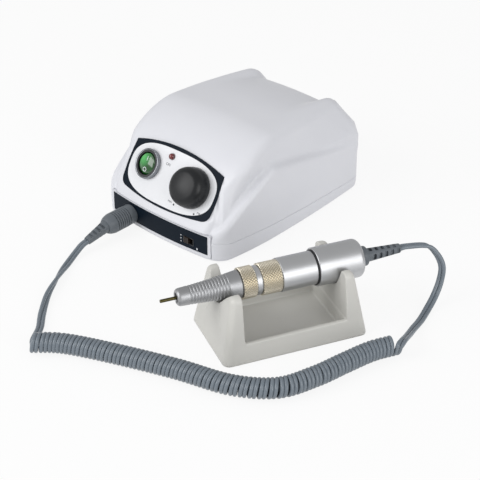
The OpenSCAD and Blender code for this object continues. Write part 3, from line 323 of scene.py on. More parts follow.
def twistOver(path, sides):
    # one half turn of the flat cord about itself, lifted where it stands on edge
    first, last = cordValues["twist"]
    t = np.clip((np.linspace(0, 1, len(path)) - first) / (last - first), 0, 1)[:, None]
    roll = np.pi * t * t * (3 - 2 * t)
    headings = headingsOf(path)
    lifted = path + np.array([0, 0, cordValues["edgeLift"]]) * np.sin(roll)
    return lifted, sides * np.cos(roll) + np.cross(headings, sides) * np.sin(roll)


leadSides = easeSides(flatSide, windingSide[0], len(leadPath))
leadPath, leadSides = twistOver(leadPath, leadSides)
if np.dot(leadSides[-1], windingSide[0]) < 0:
    leadSides = -leadSides
runPath = np.vstack([leadPath, winding, coilFinish[None]])
cordRun = sweepTwin("curlyCord", runPath, np.vstack([leadSides, windingSide, windingSide[-1:]]))
tailSides = easeSides(flatSide, windingSide[-1], len(tailPath))[::-1]
cordTail = sweepTwin("cordTail", tailPath, tailSides)
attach(cordRun, "control_unit")
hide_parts("cord_lead", "cord_coil")
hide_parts("cord_tail")
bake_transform(cordTail)
print("cord made,", round(pathLength(runPath) + pathLength(tailPath), 3), "m")

# Control unit: the housing's form as a distance in mm, negative inside
unitForm = {"halfWidth": 66.3, "front": -86.5, "rear": 86.5, "height": 84.0, "seam": 13.0, "seamFall": 0.04,
            "chin": 21.5, "chinRound": 360, "tilt": math.radians(32), "panelRound": 420, "panelHalf": 46,
            "wall": 2.5, "corner": 13, "frontCorner": 11.0, "frontTaper": 5.8, "sideBow": 3.3,
            "sideDraft": 0.02, "crease": 4.0, "creaseRear": 0.8, "creaseFade": 9, "creaseLeast": 0.04,
            "clearBelow": 5, "shoulder": 60.0, "shoulderFront": 13.0, "shoulderGap": -3.0,
            "shoulderPower": 1.18, "shoulderFall": 0.17, "shoulderRound": 4, "crest": -25.0, "brow": 27,
            "crown": 0.0012, "rearFall": 5, "earAt": 42.0, "saddleHalf": 30.5, "dip": 10.5, "dipFrom": 5,
            "dipEnd": 15, "flareIn": 14.5, "flare": 0.17, "flareRear": 7, "hoodIn": 7.5, "hoodInRear": 2,
            "lean": 0.14, "leanRear": 0.9, "hoodEase": 0.85, "ridge": 6.5, "tail": 10.0, "tailLean": 0.45,
            "tailFrom": 46.0, "tailEase": 0.9, "columns": 352, "crowd": (8.6, 8), "reach": 160.0,
            "halvings": 36, "widest": 300}


def roundAnd(a, b, r):
    return np.minimum(-r, np.maximum(a, b)) + np.hypot(np.maximum(a + r, 0), np.maximum(b + r, 0))


def roundOr(a, b, r):
    return np.maximum(r, np.minimum(a, b)) - np.hypot(np.maximum(r - a, 0), np.maximum(r - b, 0))


def chinFace(x):
    r = unitForm["chinRound"]
    return unitForm["front"] + r - np.sqrt(r * r - x * x)


def panelSag(x):
    r = unitForm["panelRound"]
    return np.sqrt(r * r - x * x) - r


def backness(y):
    return np.maximum(y - unitForm["crest"], 0) / (unitForm["rear"] - unitForm["crest"])


def sideFace(y, z):
    f = unitForm
    ahead = f["frontTaper"] * ((y - f["crest"]) / (f["front"] - f["crest"])) ** 2
    behind = f["sideBow"] * ((y - f["crest"]) / f["rear"]) ** 2
    return f["halfWidth"] - np.where(y < f["crest"], ahead, behind) - f["sideDraft"] * (z - f["seam"])


def arch(a, power):
    return np.maximum(a, 0) ** power


def overShoulder(y, z):
    f = unitForm
    p = f["shoulderPower"]
    rise, run = f["shoulder"] - f["shoulderFront"], f["crest"] - f["front"] - f["shoulderGap"]
    both = arch((f["crest"] - y) / run, p) + arch((z - f["shoulderFront"]) / rise, p)
    behind = z - f["shoulder"] + f["shoulderFall"] * (y - f["crest"])
    return np.where(y > f["crest"], behind, rise * (arch(both, 1 / p) - 1))


def hoodTop(x, y):
    f = unitForm
    dip = f["dip"] * (np.maximum(y - f["dipFrom"], 0) / (f["rear"] - f["dipEnd"])) ** 2
    across = np.clip((x - f["saddleHalf"]) / (f["earAt"] - f["saddleHalf"]), 0, 1)
    ridge = f["height"] - f["rearFall"] * backness(y) ** 2
    return ridge - dip * (1 + np.cos(np.pi * across)) / 2 - f["crown"] * x * x


def hoodSide(y, z):
    f, b = unitForm, backness(y)
    flare = f["halfWidth"] - f["flareIn"] + f["flare"] * (z - f["chin"]) + f["flareRear"] * b
    lean = (f["lean"] + f["leanRear"] * b * b) * (z - f["shoulder"])
    inner = f["halfWidth"] - f["hoodIn"] - f["hoodInRear"] * b - lean
    return np.minimum(np.minimum(flare, sideFace(y, z)), inner)


def housingForm(p):
    f = unitForm
    x, y, z = np.minimum(np.abs(p[..., 0]), f["widest"]), p[..., 1], p[..., 2]
    rear, chin = y - f["rear"], chinFace(x) - y
    low = roundAnd(roundAnd(x - sideFace(y, z), rear, f["corner"]), chin, f["frontCorner"])
    panel = (f["front"] - y) * math.cos(f["tilt"]) + (z - f["chin"]) * math.sin(f["tilt"]) - panelSag(x)
    clear = np.maximum(x - f["panelHalf"], 0) + f["clearBelow"] * np.maximum(f["chin"] - z, 0)
    lower = roundAnd(low, panel + f["crease"] + 1 - clear, 1)
    lower = roundAnd(lower, overShoulder(y, z), f["shoulderRound"])
    upper = roundAnd(panel, z - hoodTop(x, y), f["brow"])
    # sloped faces are eased towards their true distance
    tail = f["tailEase"] * (rear + f["tailLean"] * np.maximum(z - f["tailFrom"], 0))
    hood = roundAnd(upper, f["hoodEase"] * (x - hoodSide(y, z)), f["ridge"])
    hood = roundAnd(hood, tail, f["tail"])
    # the crease runs out into a fine groove at the front
    crease = f["crease"] * (1 - f["creaseRear"] * backness(y))
    crease = crease * np.clip(-chin / f["creaseFade"], f["creaseLeast"], 1)
    return roundOr(lower, roundAnd(hood, chin, 1), crease)


def ray(a, e, r):
    y = r * np.cos(e) * np.sin(a)
    z = unitForm["seam"] - unitForm["seamFall"] * y + r * np.sin(e)
    return np.stack([r * np.cos(e) * np.cos(a), y, z], axis=-1)


def halve(low, high, steps, outside):
    # closes in on the surface between values inside and outside it
    for _ in range(steps):
        middle = (low + high) / 2
        out = outside(middle)
        low, high = np.where(out, low, middle), np.where(out, middle, high)
    return low, high


def skin(a, e, depth):
    # the point at a depth under the surface along each ray from the middle of the parting plane
    low, high = halve(np.zeros_like(a + e), np.full_like(a + e, unitForm["reach"]), unitForm["halvings"],
                      lambda r: housingForm(ray(a, e, r)) + depth > 0)
    return ray(a, e, (low + high) / 2)


def columnTurns():
    # columns crowd at the corners and the two ends
    t = 2 * np.pi * np.arange(unitForm["columns"]) / unitForm["columns"]
    corners, ends = np.radians(unitForm["crowd"])
    return t + corners * np.sin(4 * t) + ends * np.sin(2 * t)


rowGuide = {"side": 60, "frontIn": 8, "rearIn": 12, "ahead": 46, "earOut": 6, "topIn": 6, "least": 0.05,
            "bowLeast": 0.02}


def rowRaises(a, rows):
    # rows crowd along the shoulder crease and the hood's edge
    f, g = unitForm, rowGuide
    sine, cosine = np.sin(a), np.maximum(np.abs(np.cos(a)), g["least"])
    y = np.minimum(np.maximum(g["side"] * sine / cosine, f["front"] + g["frontIn"]), f["rear"])
    p, run = f["shoulderPower"], f["crest"] - f["front"] - f["shoulderGap"]
    bow = np.maximum(1 - arch((f["crest"] - y) / run, p), g["bowLeast"]) ** (1 / p)
    height = np.where(y > f["crest"], f["shoulder"] - f["shoulderFall"] * (y - f["crest"]),
                      f["shoulderFront"] + (f["shoulder"] - f["shoulderFront"]) * bow)
    crease = np.arctan((height - f["seam"]) / np.hypot(g["side"], y))
    along = np.where(sine > 0, f["rear"] - g["rearIn"], g["ahead"])
    run = np.minimum((f["earAt"] + g["earOut"]) / cosine, along / np.maximum(np.abs(sine), g["least"]))
    edge = np.arctan((f["height"] - g["topIn"] - f["seam"]) / run)
    top = rows[0][-1] * crease
    return ([f0 * crease for f0 in rows[0]] + [top + (edge - top) * f1 for f1 in rows[1]]
            + [edge + (np.pi / 2 - edge) * f2 for f2 in rows[2]])


def finer(rows, parts):
    spans = len(rows) - 1
    return list(np.interp(np.linspace(0, spans, parts * spans + 1), np.arange(len(rows)), rows))


def stackRings(name, rings, lowPole, highPole):
    # a closed mesh from rings of equal count, lowest first, with a point at each end
    n = len(rings[0])
    points = np.vstack(rings + [[lowPole], [highPole]])
    bottom, top = len(points) - 2, len(points) - 1
    faces = bandFaces(len(rings), n)
    faces += [(bottom, (i + 1) % n, i) for i in range(n)]
    faces += [(top, (len(rings) - 1) * n + i, (len(rings) - 1) * n + (i + 1) % n) for i in range(n)]
    return fromPoints(name, points, faces)


panelFrame = (Matrix.Translation(Vector((0, unitForm["front"], unitForm["chin"])) * mm)
              @ Matrix.Rotation(math.pi / 2 - unitForm["tilt"], 4, "X"))


def onPanel(at, lift=0.0):
    # place on the dial panel: x across, y up the slope, z out of it
    x, y = at
    spot = Vector((x, y, float(panelSag(x)))) * mm
    turn = Matrix.Rotation(math.asin(x / unitForm["panelRound"]), 4, "Y")
    return unitPlace @ panelFrame @ Matrix.Translation(spot) @ turn @ Matrix.Translation((0, 0, lift * mm))


def onChin(at, lift=0.0):
    # place on the front under the panel: x across, y up, z out of it
    spot = Vector((at[0], float(chinFace(at[0])), at[1])) * mm
    turn = Matrix.Rotation(math.pi / 2, 4, "X")
    return unitPlace @ Matrix.Translation(spot) @ turn @ Matrix.Translation((0, 0, lift * mm))


panelParts = {"switchAt": (-24, 32.5), "lampAt": (-4.75, 45), "knobAt": (23.5, 30), "overlayOut": 0.3,
              "switchHole": 10.1, "lampHole": 2.6, "bushHole": 3.7, "lifts": (1.8, 1.2, 0.6, 0)}
chinParts = {"sliderAt": (32.7, 11.8), "sliderRoom": (5.6, 3.6), "socketAt": (-28.15, 11.3),
             "socketRoom": 7.8, "deep": 3.4, "out": 1.0}
rearRoom = {"block": ((-33.5, 70, 12.5), (33.5, 132.5, 132.5)), "recess": ((-31, 72.5, 15), (31, 132.5, 135)),
            "window": ((-25, 62.5, 22), (25, 82.5, 58))}
screwForm = {"boss": 4.5, "bossGap": 3.3, "pilot": 1.45, "clear": 1.7, "head": 3.2, "headDeep": 3.6}
trayForm = {"under": 1.0, "floor": 3.5, "footIn": 2, "footOut": 1.7, "footRise": 2.2, "wall": 2.5,
            "wallFoot": 2.9, "pillar": 3, "pillarHigh": 7, "pillarHole": 1.25, "footHole": 7.1, "footDeep": 3.4}
screwSpots = [(sx * 54.3, y) for sx in (-1, 1) for y in (-62, 66)]
footSpots = [(sx * 42.3, y) for sx in (-1, 1) for y in (-58, 60)]
pillarSpots = [(sx * 43, -40 + sy * 17) for sx in (-1, 1) for sy in (-1, 1)]
groove = {"deep": 0.45, "high": 0.55, "lip": 0.06, "chinSide": 0.6, "chinTop": 0.35, "chinOut": 0.4}


def chinCutter():
    # the chin plate's solid, a little larger, so that a fine groove is left round it
    cutter = nodeCopy("chin_plate")
    low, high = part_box("chin_plate")
    middle = (Vector(low) + Vector(high)) / 2
    size = Vector(high) - Vector(low)
    scale = Matrix.Diagonal((1 + 2 * groove["chinSide"] * mm / size.x, 1,
                             1 + 2 * groove["chinTop"] * mm / size.z, 1))
    ahead = middle + Vector((0, -groove["chinOut"] * mm, 0))
    cutter.data.transform(Matrix.Translation(ahead) @ scale @ Matrix.Translation(-middle))
    return cutter


def cutChin(piece):
    # room for the chin plate, and for the slide switch and the socket that look through it
    f = chinParts
    x, y = f["sliderRoom"]
    boolean(piece, chinCutter())
    boolean(piece, box((-x, -y, -f["deep"]), (x, y, f["out"]), onChin(f["sliderAt"])))
    boolean(piece, rod(f["socketRoom"], (0, 0, -f["deep"]), f["deep"] + f["out"], onChin(f["socketAt"])))


saddleStep = {"half": 28.5, "from": 66.5, "to": 76.0, "deep": 0.7, "level": 73.0, "high": 6.0,
              "grid": (40, 12), "search": (40.0, 100.0), "halvings": 30}


def saddleCutter():
    # a thin block whose floor follows the hood a little under its surface
    f = saddleStep
    across, along = f["grid"]
    x, y = np.meshgrid(np.linspace(-f["half"], f["half"], across), np.linspace(f["from"], f["to"], along))
    low = halve(np.full_like(x, f["search"][0]), np.full_like(x, f["search"][1]), f["halvings"],
                lambda z: housingForm(np.stack([x, np.minimum(y, f["level"]), z], axis=-1)) > 0)[0]
    floorRows = np.stack([x, y, low - f["deep"]], axis=-1)
    rows, columns = x.shape
    points = np.vstack([floorRows.reshape(-1, 3), (floorRows + np.array([0, 0, f["high"]])).reshape(-1, 3)])
    count = rows * columns
    faces = []
    for j in range(rows - 1):
        for i in range(columns - 1):
            a = j * columns + i
            faces += [(a, a + columns, a + columns + 1, a + 1),
                      (count + a, count + a + 1, count + a + columns + 1, count + a + columns)]
    edge = (list(range(columns)) + [j * columns + columns - 1 for j in range(1, rows)]
            + [(rows - 1) * columns + i for i in range(columns - 2, -1, -1)]
            + [j * columns for j in range(rows - 2, 0, -1)])
    faces += [(a, b, count + b, count + a) for a, b in zip(edge, edge[1:] + edge[:1])]
    return fromPoints("saddleCutter", points, faces)


def makeTopHousing():
    a = columnTurns()
    outer = [finer([0.012, 0.3, 0.55, 0.72, 0.82, 0.89, 0.95, 1, 1.05, 1.11, 1.18, 1.27], 3),
             finer([0.35, 0.65, 0.82, 0.92, 1], 3), finer([0.05, 0.12, 0.22, 0.38, 0.58, 0.8, 0.93], 3)]
    inner = [[0.06, 0.4, 0.7, 0.85, 0.95, 1.05, 1.15, 1.27], [0.5, 0.9], [0.08, 0.3, 0.65]]
    flat = np.zeros_like(a)
    lip = skin(a, flat, groove["deep"]) + np.array([0, 0, groove["lip"]])
    rings = [lip] + [skin(a, e, 0.0) for e in rowRaises(a, outer)]
    low = np.array([0, 0, unitForm["seam"] + groove["lip"]])
    high = skin(np.zeros(1), np.full(1, np.pi / 2), 0.0)[0]
    shell = stackRings("topHousing", rings, low, high)
    hollowRings = [skin(a, e, unitForm["wall"]) for e in rowRaises(a, inner)]
    drop = np.array([0, 0, 4.0])
    hollow = stackRings("hollow", [hollowRings[0] - drop] + hollowRings, low - drop,
                        skin(np.zeros(1), np.full(1, np.pi / 2), unitForm["wall"])[0])
    boolean(hollow, box(*rearRoom["block"]))
    for x, y in screwSpots:
        boolean(hollow, rod(screwForm["boss"], (x, y, 0), unitForm["height"]))
    boolean(shell, hollow)
    boolean(shell, box(*rearRoom["recess"]))
    boolean(shell, saddleCutter())
    boolean(shell, box(*rearRoom["window"]))
    for x, y in screwSpots:
        boolean(shell, rod(screwForm["pilot"], (x, y, -1), 30, sides=24))
    settle(shell, unitPlace)
    panelOut = Vector((0, -math.cos(unitForm["tilt"]), math.sin(unitForm["tilt"])))
    for lift in panelParts["lifts"]:
        for node in ("panel_border", "panel_face"):
            cutter = nodeCopy(node)
            cutter.data.transform(Matrix.Translation(panelOut * lift * mm))
            boolean(shell, cutter)
    cutChin(shell)
    for at, hole in (("switchAt", "switchHole"), ("lampAt", "lampHole"), ("knobAt", "bushHole")):
        boolean(shell, rod(panelParts[hole], (0, 0, -12), 20, onPanel(panelParts[at])))
    smooth(shell, 32)
    return shell


def makeBaseTray():
    f, s = trayForm, screwForm
    a = columnTurns()
    flat = np.zeros_like(a)
    edge = skin(a, flat, 0.0)

    def level(ring, z):
        ring = ring.copy()
        ring[:, 2] = z
        return ring

    steps = np.radians(np.linspace(0, 90, 6))
    foot = [level(skin(a, flat, f["footIn"] - f["footOut"] * math.sin(t)),
                  f["under"] + f["footRise"] * (1 - math.cos(t))) for t in steps]
    lip = np.array([0, 0, groove["lip"]])
    rings = foot + [edge - np.array([0, 0, groove["high"]]), skin(a, flat, groove["deep"]) - lip,
                    skin(a, flat, f["wall"]) - lip, level(skin(a, flat, f["wallFoot"]), f["floor"])]
    tray = stackRings("baseTray", rings, np.array([0, 0, f["under"]]), np.array([0, 0, f["floor"]]))
    for x, y in screwSpots:
        high = unitForm["seam"] - unitForm["seamFall"] * (y + s["boss"]) - s["bossGap"]
        boolean(tray, rod(s["boss"], (x, y, 3), high), "UNION")
    for x, y in pillarSpots:
        boolean(tray, rod(f["pillar"], (x, y, 3), f["pillarHigh"]), "UNION")
    for x, y in screwSpots:
        boolean(tray, rod(s["clear"], (x, y, -1), 30, sides=24))
        boolean(tray, rod(s["head"], (x, y, -1), s["headDeep"]))
    for x, y in footSpots:
        boolean(tray, rod(f["footHole"], (x, y, -1), f["footDeep"]))
    for x, y in pillarSpots:
        boolean(tray, rod(f["pillarHole"], (x, y, 4), 20, sides=24))
    settle(tray, unitPlace)
    cutChin(tray)
    smooth(tray, 32)
    return tray


topHousing = makeTopHousing()
baseTray = makeBaseTray()
for piece, node in ((topHousing, "top_housing"), (baseTray, "base_tray")):
    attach(piece, "control_unit")
    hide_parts(node)
print("housing made,", len(topHousing.data.polygons), "faces")

# Speed knob: a domed cap with a fine lower rim and a short light pointer let into its edge
knobForm = {"radius": 15.7, "height": 15.5, "edge": 7.0, "gap": 0.6, "hollow": 7.0,
            "mark": ((-16.7, -0.45, 9.4), (-13.2, 0.45, 13.2))}


def makeKnob():
    f = knobForm
    r, h = f["radius"], f["height"]
    rim = [(f["hollow"], f["gap"]), (r - 0.6, f["gap"])] + arc((r - 0.6, f["gap"] + 0.6), 0.6, -60, 0, 4)
    rim += [(r - 0.1, 3.2), (r - 0.55, 7.0)]
    side = arc((r - 0.75 - f["edge"], h - 1.2 - f["edge"]), f["edge"], 4, 80, 12)
    dome = [(7.4, h - 0.86), (5.4, h - 0.48), (3, h - 0.16), (1.2, h - 0.03), (0, h)]
    inside = [(0, h - 3), (f["hollow"], h - 3.4), (f["hollow"], f["gap"])]
    knob = lathe("speedKnob", rim + side + dome + inside, None, 128)
    place = onPanel(panelParts["knobAt"], panelParts["overlayOut"])
    mark = box(*f["mark"])
    whole = bpy.data.objects.new("wholeKnob", knob.data.copy())
    scene.collection.objects.link(whole)
    boolean(mark, whole, "INTERSECT")
    mark.name = mark.data.name = "knobMark"
    boolean(knob, box(*f["mark"]))
    for piece in (knob, mark):
        settle(piece, place)
        smooth(piece, 30)
    return knob, mark


speedKnob, knobMark = makeKnob()
for piece in (speedKnob, knobMark):
    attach(piece, "knob")
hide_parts("speed_knob")

# Power switch: a plated trim ring round the rim, and a round rocker with its two marks
switchForm = {"rocker": 8.5, "slope": 6, "lean": 6, "pivot": -1.15, "trim": 11.75, "trimIn": 10.5, "top": 4.8,
              "trimHigh": 3.05, "round": 1.5, "dome": 0.95, "underAt": (3, -3.3), "underLean": 12,
              "markAt": 4.3}


def domeHeight(r):
    return switchForm["top"] - switchForm["dome"] * (r / switchForm["rocker"]) ** 2


def makeRocker():
    f = switchForm
    rim, edge = f["rocker"], f["round"]
    profile = [(0, -2.8), (rim, -2.8)] + arc((rim - edge, domeHeight(rim) - edge), edge, 0, 78, 8)
    profile += [(r, domeHeight(r)) for r in np.linspace(rim - 1.1 * edge, 0, 16)]
    rocker = lathe("powerRocker", profile, None, 96)
    y, z = f["underAt"]
    for half in (0, math.pi):
        under = (Matrix.Rotation(half, 4, "Z") @ Matrix.Translation((0, y * mm, z * mm))
                 @ Matrix.Rotation(math.radians(f["underLean"]), 4, "X"))
        boolean(rocker, box((-20, 0, -20), (20, 40, 0), under))
    place = (onPanel(panelParts["switchAt"], panelParts["overlayOut"] + f["pivot"])
             @ Matrix.Rotation(math.radians(f["lean"]), 4, "X"))
    settle(rocker, place)
    smooth(rocker, 30)
    return rocker, place


def makeRockerMarks(place):
    # the ring on the pressed half and the bar on the raised half, moulded a hair proud
    slope, out = math.radians(switchForm["slope"]), switchForm["markAt"]
    high = domeHeight(out) * mm
    lower = place @ Matrix.Translation((0, -out * mm, high)) @ Matrix.Rotation(slope, 4, "X")
    upper = place @ Matrix.Translation((0, out * mm, high)) @ Matrix.Rotation(-slope, 4, "X")
    section = [(1.3, -0.1), (1.3, 0.05), (1.85, 0.05), (1.85, -0.1), (1.3, -0.1)]
    ring = lathe("rockerMarks", section, lower, 32)
    bar = box((-0.28, -1.7, -0.1), (0.28, 1.7, 0.05), upper)
    boolean(ring, bar, "UNION")
    return ring


powerRocker, rockerPlace = makeRocker()
rockerMarks = makeRockerMarks(rockerPlace)
for piece in (powerRocker, rockerMarks):
    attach(piece, "rocker")
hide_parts("power_rocker")
trimTop, trimIn, trimOut = switchForm["trimHigh"], switchForm["trimIn"], switchForm["trim"]
trimProfile = ([(trimIn, 0), (trimOut, 0)] + arc((trimOut - 0.6, trimTop - 0.6), 0.6, 0, 90, 6)
               + arc((trimIn + 0.35, trimTop - 0.4), 0.4, 90, 180, 4) + [(trimIn, 0)])
switchTrim = lathe("switchTrim", [(r, z + 0.4) for r, z in trimProfile],
                   onPanel(panelParts["switchAt"], panelParts["overlayOut"]), 96, 30)
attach(switchTrim, "control_unit")

# Handpiece: turned pieces along one axis, nose at the low end
handForm = {"nose": -74.5, "ribStart": -66.0, "ribEnd": -38.0, "noseEnd": -30.4, "ribs": 13, "ribDeep": 0.5,
            "tip": 6.0, "root": 9.8, "ring": (-29.9, -20.1), "neck": (-20.0, -16.0), "grip": (-15.95, -2.0),
            "sleeve": (-1.95, 23.3), "seal": (23.35, 24.25), "motor": (24.3, 58.5), "bootEnd": 90.0,
            "ringRadius": 11.1, "gripRadius": 11.3, "ringBore": 9.2, "sleeveRadius": 11.8, "sealRadius": 12.5,
            "motorRadius": 13.5, "knurls": 34, "knurlDeep": 0.75, "knurlEdge": 0.45,
            "ribShape": [(0, 0.04), (0.1, 0.7), (0.2, 1), (0.36, 1), (0.47, 0.7), (0.57, 0.04), (0.7, -0.02),
                         (0.86, -0.02)]}


def noseRadius(s):
    t = (s - handForm["nose"]) / (handForm["noseEnd"] - handForm["nose"])
    return handForm["tip"] + (handForm["root"] - handForm["tip"]) * (0.45 * t + 0.55 * t * t)


def makeNose():
    f = handForm
    pitch = (f["ribEnd"] - f["ribStart"]) / f["ribs"]
    profile = [(3.3, f["nose"] + 14), (3.3, f["nose"] + 0.6), (3.9, f["nose"])]
    profile += arc((f["tip"] - 2.4, f["nose"] + 2.4), 2.4, -86, -8, 8)
    for k in range(4):
        s = f["nose"] + 3.2 + k * 1.6
        profile.append((noseRadius(s), s))
    for k in range(f["ribs"]):
        for part, deep in f["ribShape"]:
            s = f["ribStart"] + (k + part) * pitch
            profile.append((noseRadius(s) - f["ribDeep"] * deep, s))
    for s in np.linspace(f["ribEnd"], f["noseEnd"] - 0.3, 6):
        profile.append((noseRadius(s), float(s)))
    end = f["noseEnd"]
    profile += [(f["root"] - 0.35, end), (7.7, end), (7.7, end - 8), (3.3, end - 9)]
    return lathe("noseCone", profile, handpiecePlace, 96, 40)


def makeKnurledRing(name, radius, bore, ends):
    # crossed grooves leave rows of small four-sided points
    f = handForm
    edge, (low, high) = f["knurlEdge"], ends
    columns = 2 * f["knurls"]
    rows = 2 * max(int((high - low - 2 * edge) / (2 * math.pi * radius / f["knurls"]) + 0.5), 2)
    rings = [[(bore, low)] * columns, [(radius - edge - 0.2, low)] * columns]
    for j in range(rows + 1):
        s = low + edge + (high - low - 2 * edge) * j / rows
        rings.append([(radius - (0 if (i + j) % 2 else f["knurlDeep"]), s) for i in range(columns)])
    rings += [[(radius - edge - 0.2, high)] * columns, [(bore, high)] * columns]
    points = [(r * math.cos(2 * math.pi * i / columns), r * math.sin(2 * math.pi * i / columns), s)
              for ring in rings for i, (r, s) in enumerate(ring)]
    faces = []
    for k in range(len(rings)):
        m = (k + 1) % len(rings)
        for i in range(columns):
            j = (i + 1) % columns
            a, b, c, d = k * columns + i, k * columns + j, m * columns + j, m * columns + i
            if 2 <= k < len(rings) - 3:
                # each cell folds along the groove that crosses it
                faces += [(a, b, c), (a, c, d)] if (i + k) % 2 == 0 else [(a, b, d), (b, c, d)]
            else:
                faces.append((a, b, c, d))
    ring = fromPoints(name, points, faces)
    mergeAndFaceOut(ring, 0.0001)
    settle(ring, handpiecePlace)
    return ring


def makeSleeve():
    f = handForm
    r, (low, high) = f["sleeveRadius"], f["sleeve"]
    neckLow, neckHigh = f["neck"]
    profile = [(7.5, -38), (7.5, -30), (9.15, -30), (9.15, neckLow - 0.02)]
    profile += [(9.6, neckLow), (10.0, neckLow + 0.3), (10.15, (neckLow + neckHigh) / 2),
                (10.0, neckHigh - 0.3), (9.6, neckHigh), (9.15, neckHigh + 0.02), (9.15, low), (r - 0.45, low)]
    profile += arc((r - 0.45, low + 0.45), 0.45, -60, 0, 4) + [(r, high - 0.25), (r - 0.25, high)]
    profile += [(10.4, high), (10.4, 11), (8, 11), (8, -10), (5.05, -10), (5.05, -38), (7.5, -38)]
    return lathe("middleSleeve", profile, handpiecePlace, 96, 30)


def makeMotorHousing():
    f = handForm
    r, (low, high) = f["motorRadius"], f["motor"]
    profile = [(8, 12), (10.3, 12), (10.3, low), (r - 0.6, low)] + arc((r - 0.6, low + 0.6), 0.6, -75, 0, 5)
    profile += [(r, low + 10), (r, high - 14), (r, high - 3.6)] + arc((r - 3.4, high - 3.4), 3.4, 0, 86, 12)
    profile += [(4.6, high), (4.6, high - 2), (12, high - 2), (12, 30), (5.05, 30), (5.05, 20), (8, 20),
                (8, 12)]
    return lathe("motorHousing", profile, handpiecePlace, 112, 30)


def makeSeal():
    r, (low, high) = handForm["sealRadius"], handForm["seal"]
    profile = [(10.36, low), (r - 0.5, low)] + arc((r - 0.4, low + 0.4), 0.4, -60, 0, 4)
    profile += arc((r - 0.4, high - 0.4), 0.4, 0, 60, 4) + [(r - 0.5, high), (10.36, high), (10.36, low)]
    return lathe("sealRing", profile, handpiecePlace, 96, 30)


def cutSlots(relief, first, step, count, radius, spread, turns):
    # rows of slots between rails, at the given turns about the axis, every second row half a step on
    for k in range(count):
        for row, turn in enumerate(turns):
            s = first + k * step + (row % 2) * 0.5 * step
            cut = box((radius * 0.55, -radius * spread, s), (radius * 2.2, radius * spread, s + 0.5 * step),
                      Matrix.Rotation(math.radians(turn), 4, "Z"))
            boolean(relief, cut)


def makeBoot():
    start = handForm["motor"][1] + 0.05
    end = handForm["bootEnd"]
    profile = [(0, start - 1.75), (4.5, start - 1.75), (4.5, start), (6.6, start)]
    profile += arc((6.6, start + 0.4), 0.4, -60, 0, 3) + arc((5.8, start + 4.3), 1.2, 0, 80, 6)
    profile += [(4.9, start + 5.6), (4.75, start + 7)]
    profile += [(4.75 - 1.4 * t, start + 7 + (end - start - 7.4) * t) for t in (0.25, 0.5, 0.75, 1)]
    profile += [(3.1, end), (0, end)]
    boot = lathe("cordBoot", profile, None, 64)
    cutSlots(boot, start + 7.2, 4.6, 5, 4.3, 0.5, (0, 90, 180, 270))
    settle(boot, handpiecePlace)
    smooth(boot, 30)
    return boot


def makeShank():
    # a plain rod with a small chamfer at its free end
    tip, r = handForm["nose"], 1.175
    profile = [(0, tip - 11), (0.9, tip - 11), (r, tip - 10.7), (r, tip + 20), (0, tip + 20)]
    return lathe("toolShank", profile, handpiecePlace, 32, 30)


nose = makeNose()
chuckRing = makeKnurledRing("chuckRing", handForm["ringRadius"], handForm["ringBore"], handForm["ring"])
gripRing = makeKnurledRing("gripRing", handForm["gripRadius"], handForm["ringBore"], handForm["grip"])
middleSleeve, motorHousing, sealRing = makeSleeve(), makeMotorHousing(), makeSeal()
cordBoot, toolShank = makeBoot(), makeShank()
handPieces = [(nose, "nose_cone", "handpiece", "nose_aluminium"),
              (chuckRing, "chuck_ring", "chuck_ring", "knurl_nickel"),
              (gripRing, "grip_ring", "handpiece", "knurl_nickel"),
              (middleSleeve, "middle_sleeve", "handpiece", "sleeve_aluminium"),
              (motorHousing, "motor_housing", "handpiece", "sleeve_aluminium"),
              (sealRing, "seal_ring", "handpiece", "foot_rubber"),
              (cordBoot, "cord_boot", "handpiece", "cord_rubber"),
              (toolShank, "tool_shank", "tool", "shank_brass")]
for piece, node, body, slotName in handPieces:
    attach(piece, body)
    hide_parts(node)
print("handpiece made")

# Plug: a ribbed grip and a drooping slotted strain relief
plugForm = {"gap": 0.7, "radius": 8.0, "length": 27.0, "ribs": 7, "ribFrom": 6.6, "ribPitch": 2.05}


def makePlug():
    f = plugForm
    r, long = f["radius"], f["length"]
    profile = [(0, 0), (r - 0.9, 0)] + arc((r - 0.9, 0.7), 0.6, -60, 0, 4)
    profile += [(r - 0.25, 3.0), (r - 0.2, f["ribFrom"] - 0.4)]
    for k in range(f["ribs"]):
        s = f["ribFrom"] + k * f["ribPitch"]
        profile += [(r - 0.3, s), (r - 0.95, s + 0.15), (r - 0.95, s + 0.55), (r - 0.1, s + 0.8),
                    (r, s + 1.2), (r - 0.1, s + 1.75)]
    profile += [(r - 0.35, 22), (r - 0.9, 24.2), (r - 1.7, 25.8), (5.4, long), (0, long)]
    grip = lathe("plugGrip", profile, None, 80)
    tail = [(0, -3), (4.75, -3), (4.75, 0.5), (4.55, 2)]
    tail += [(4.55 - 1.35 * t, 2 + 16.6 * t) for t in (0.25, 0.5, 0.75, 1)] + [(3.0, 19), (0, 19)]
    relief = lathe("plugRelief", tail, None, 64)
    cutSlots(relief, 2.6, 3.9, 4, 3.9, 0.95, (90, 270))
    settle(relief, Matrix.Translation((0, 0, long * mm)) @ Matrix.Rotation(plugDroop, 4, "X"))
    boolean(grip, relief, "UNION")
    settle(grip, onChin(chinParts["socketAt"], f["gap"]))
    smooth(grip, 32)
    return grip


plugGrip = makePlug()
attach(plugGrip, "control_unit")
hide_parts("plug_grip")

# Rest: the CAD form with its edges worn round, as the moulding has them
restForm = {"voxel": 0.75, "passes": 6, "ease": 0.5, "flatUnder": 0.6}


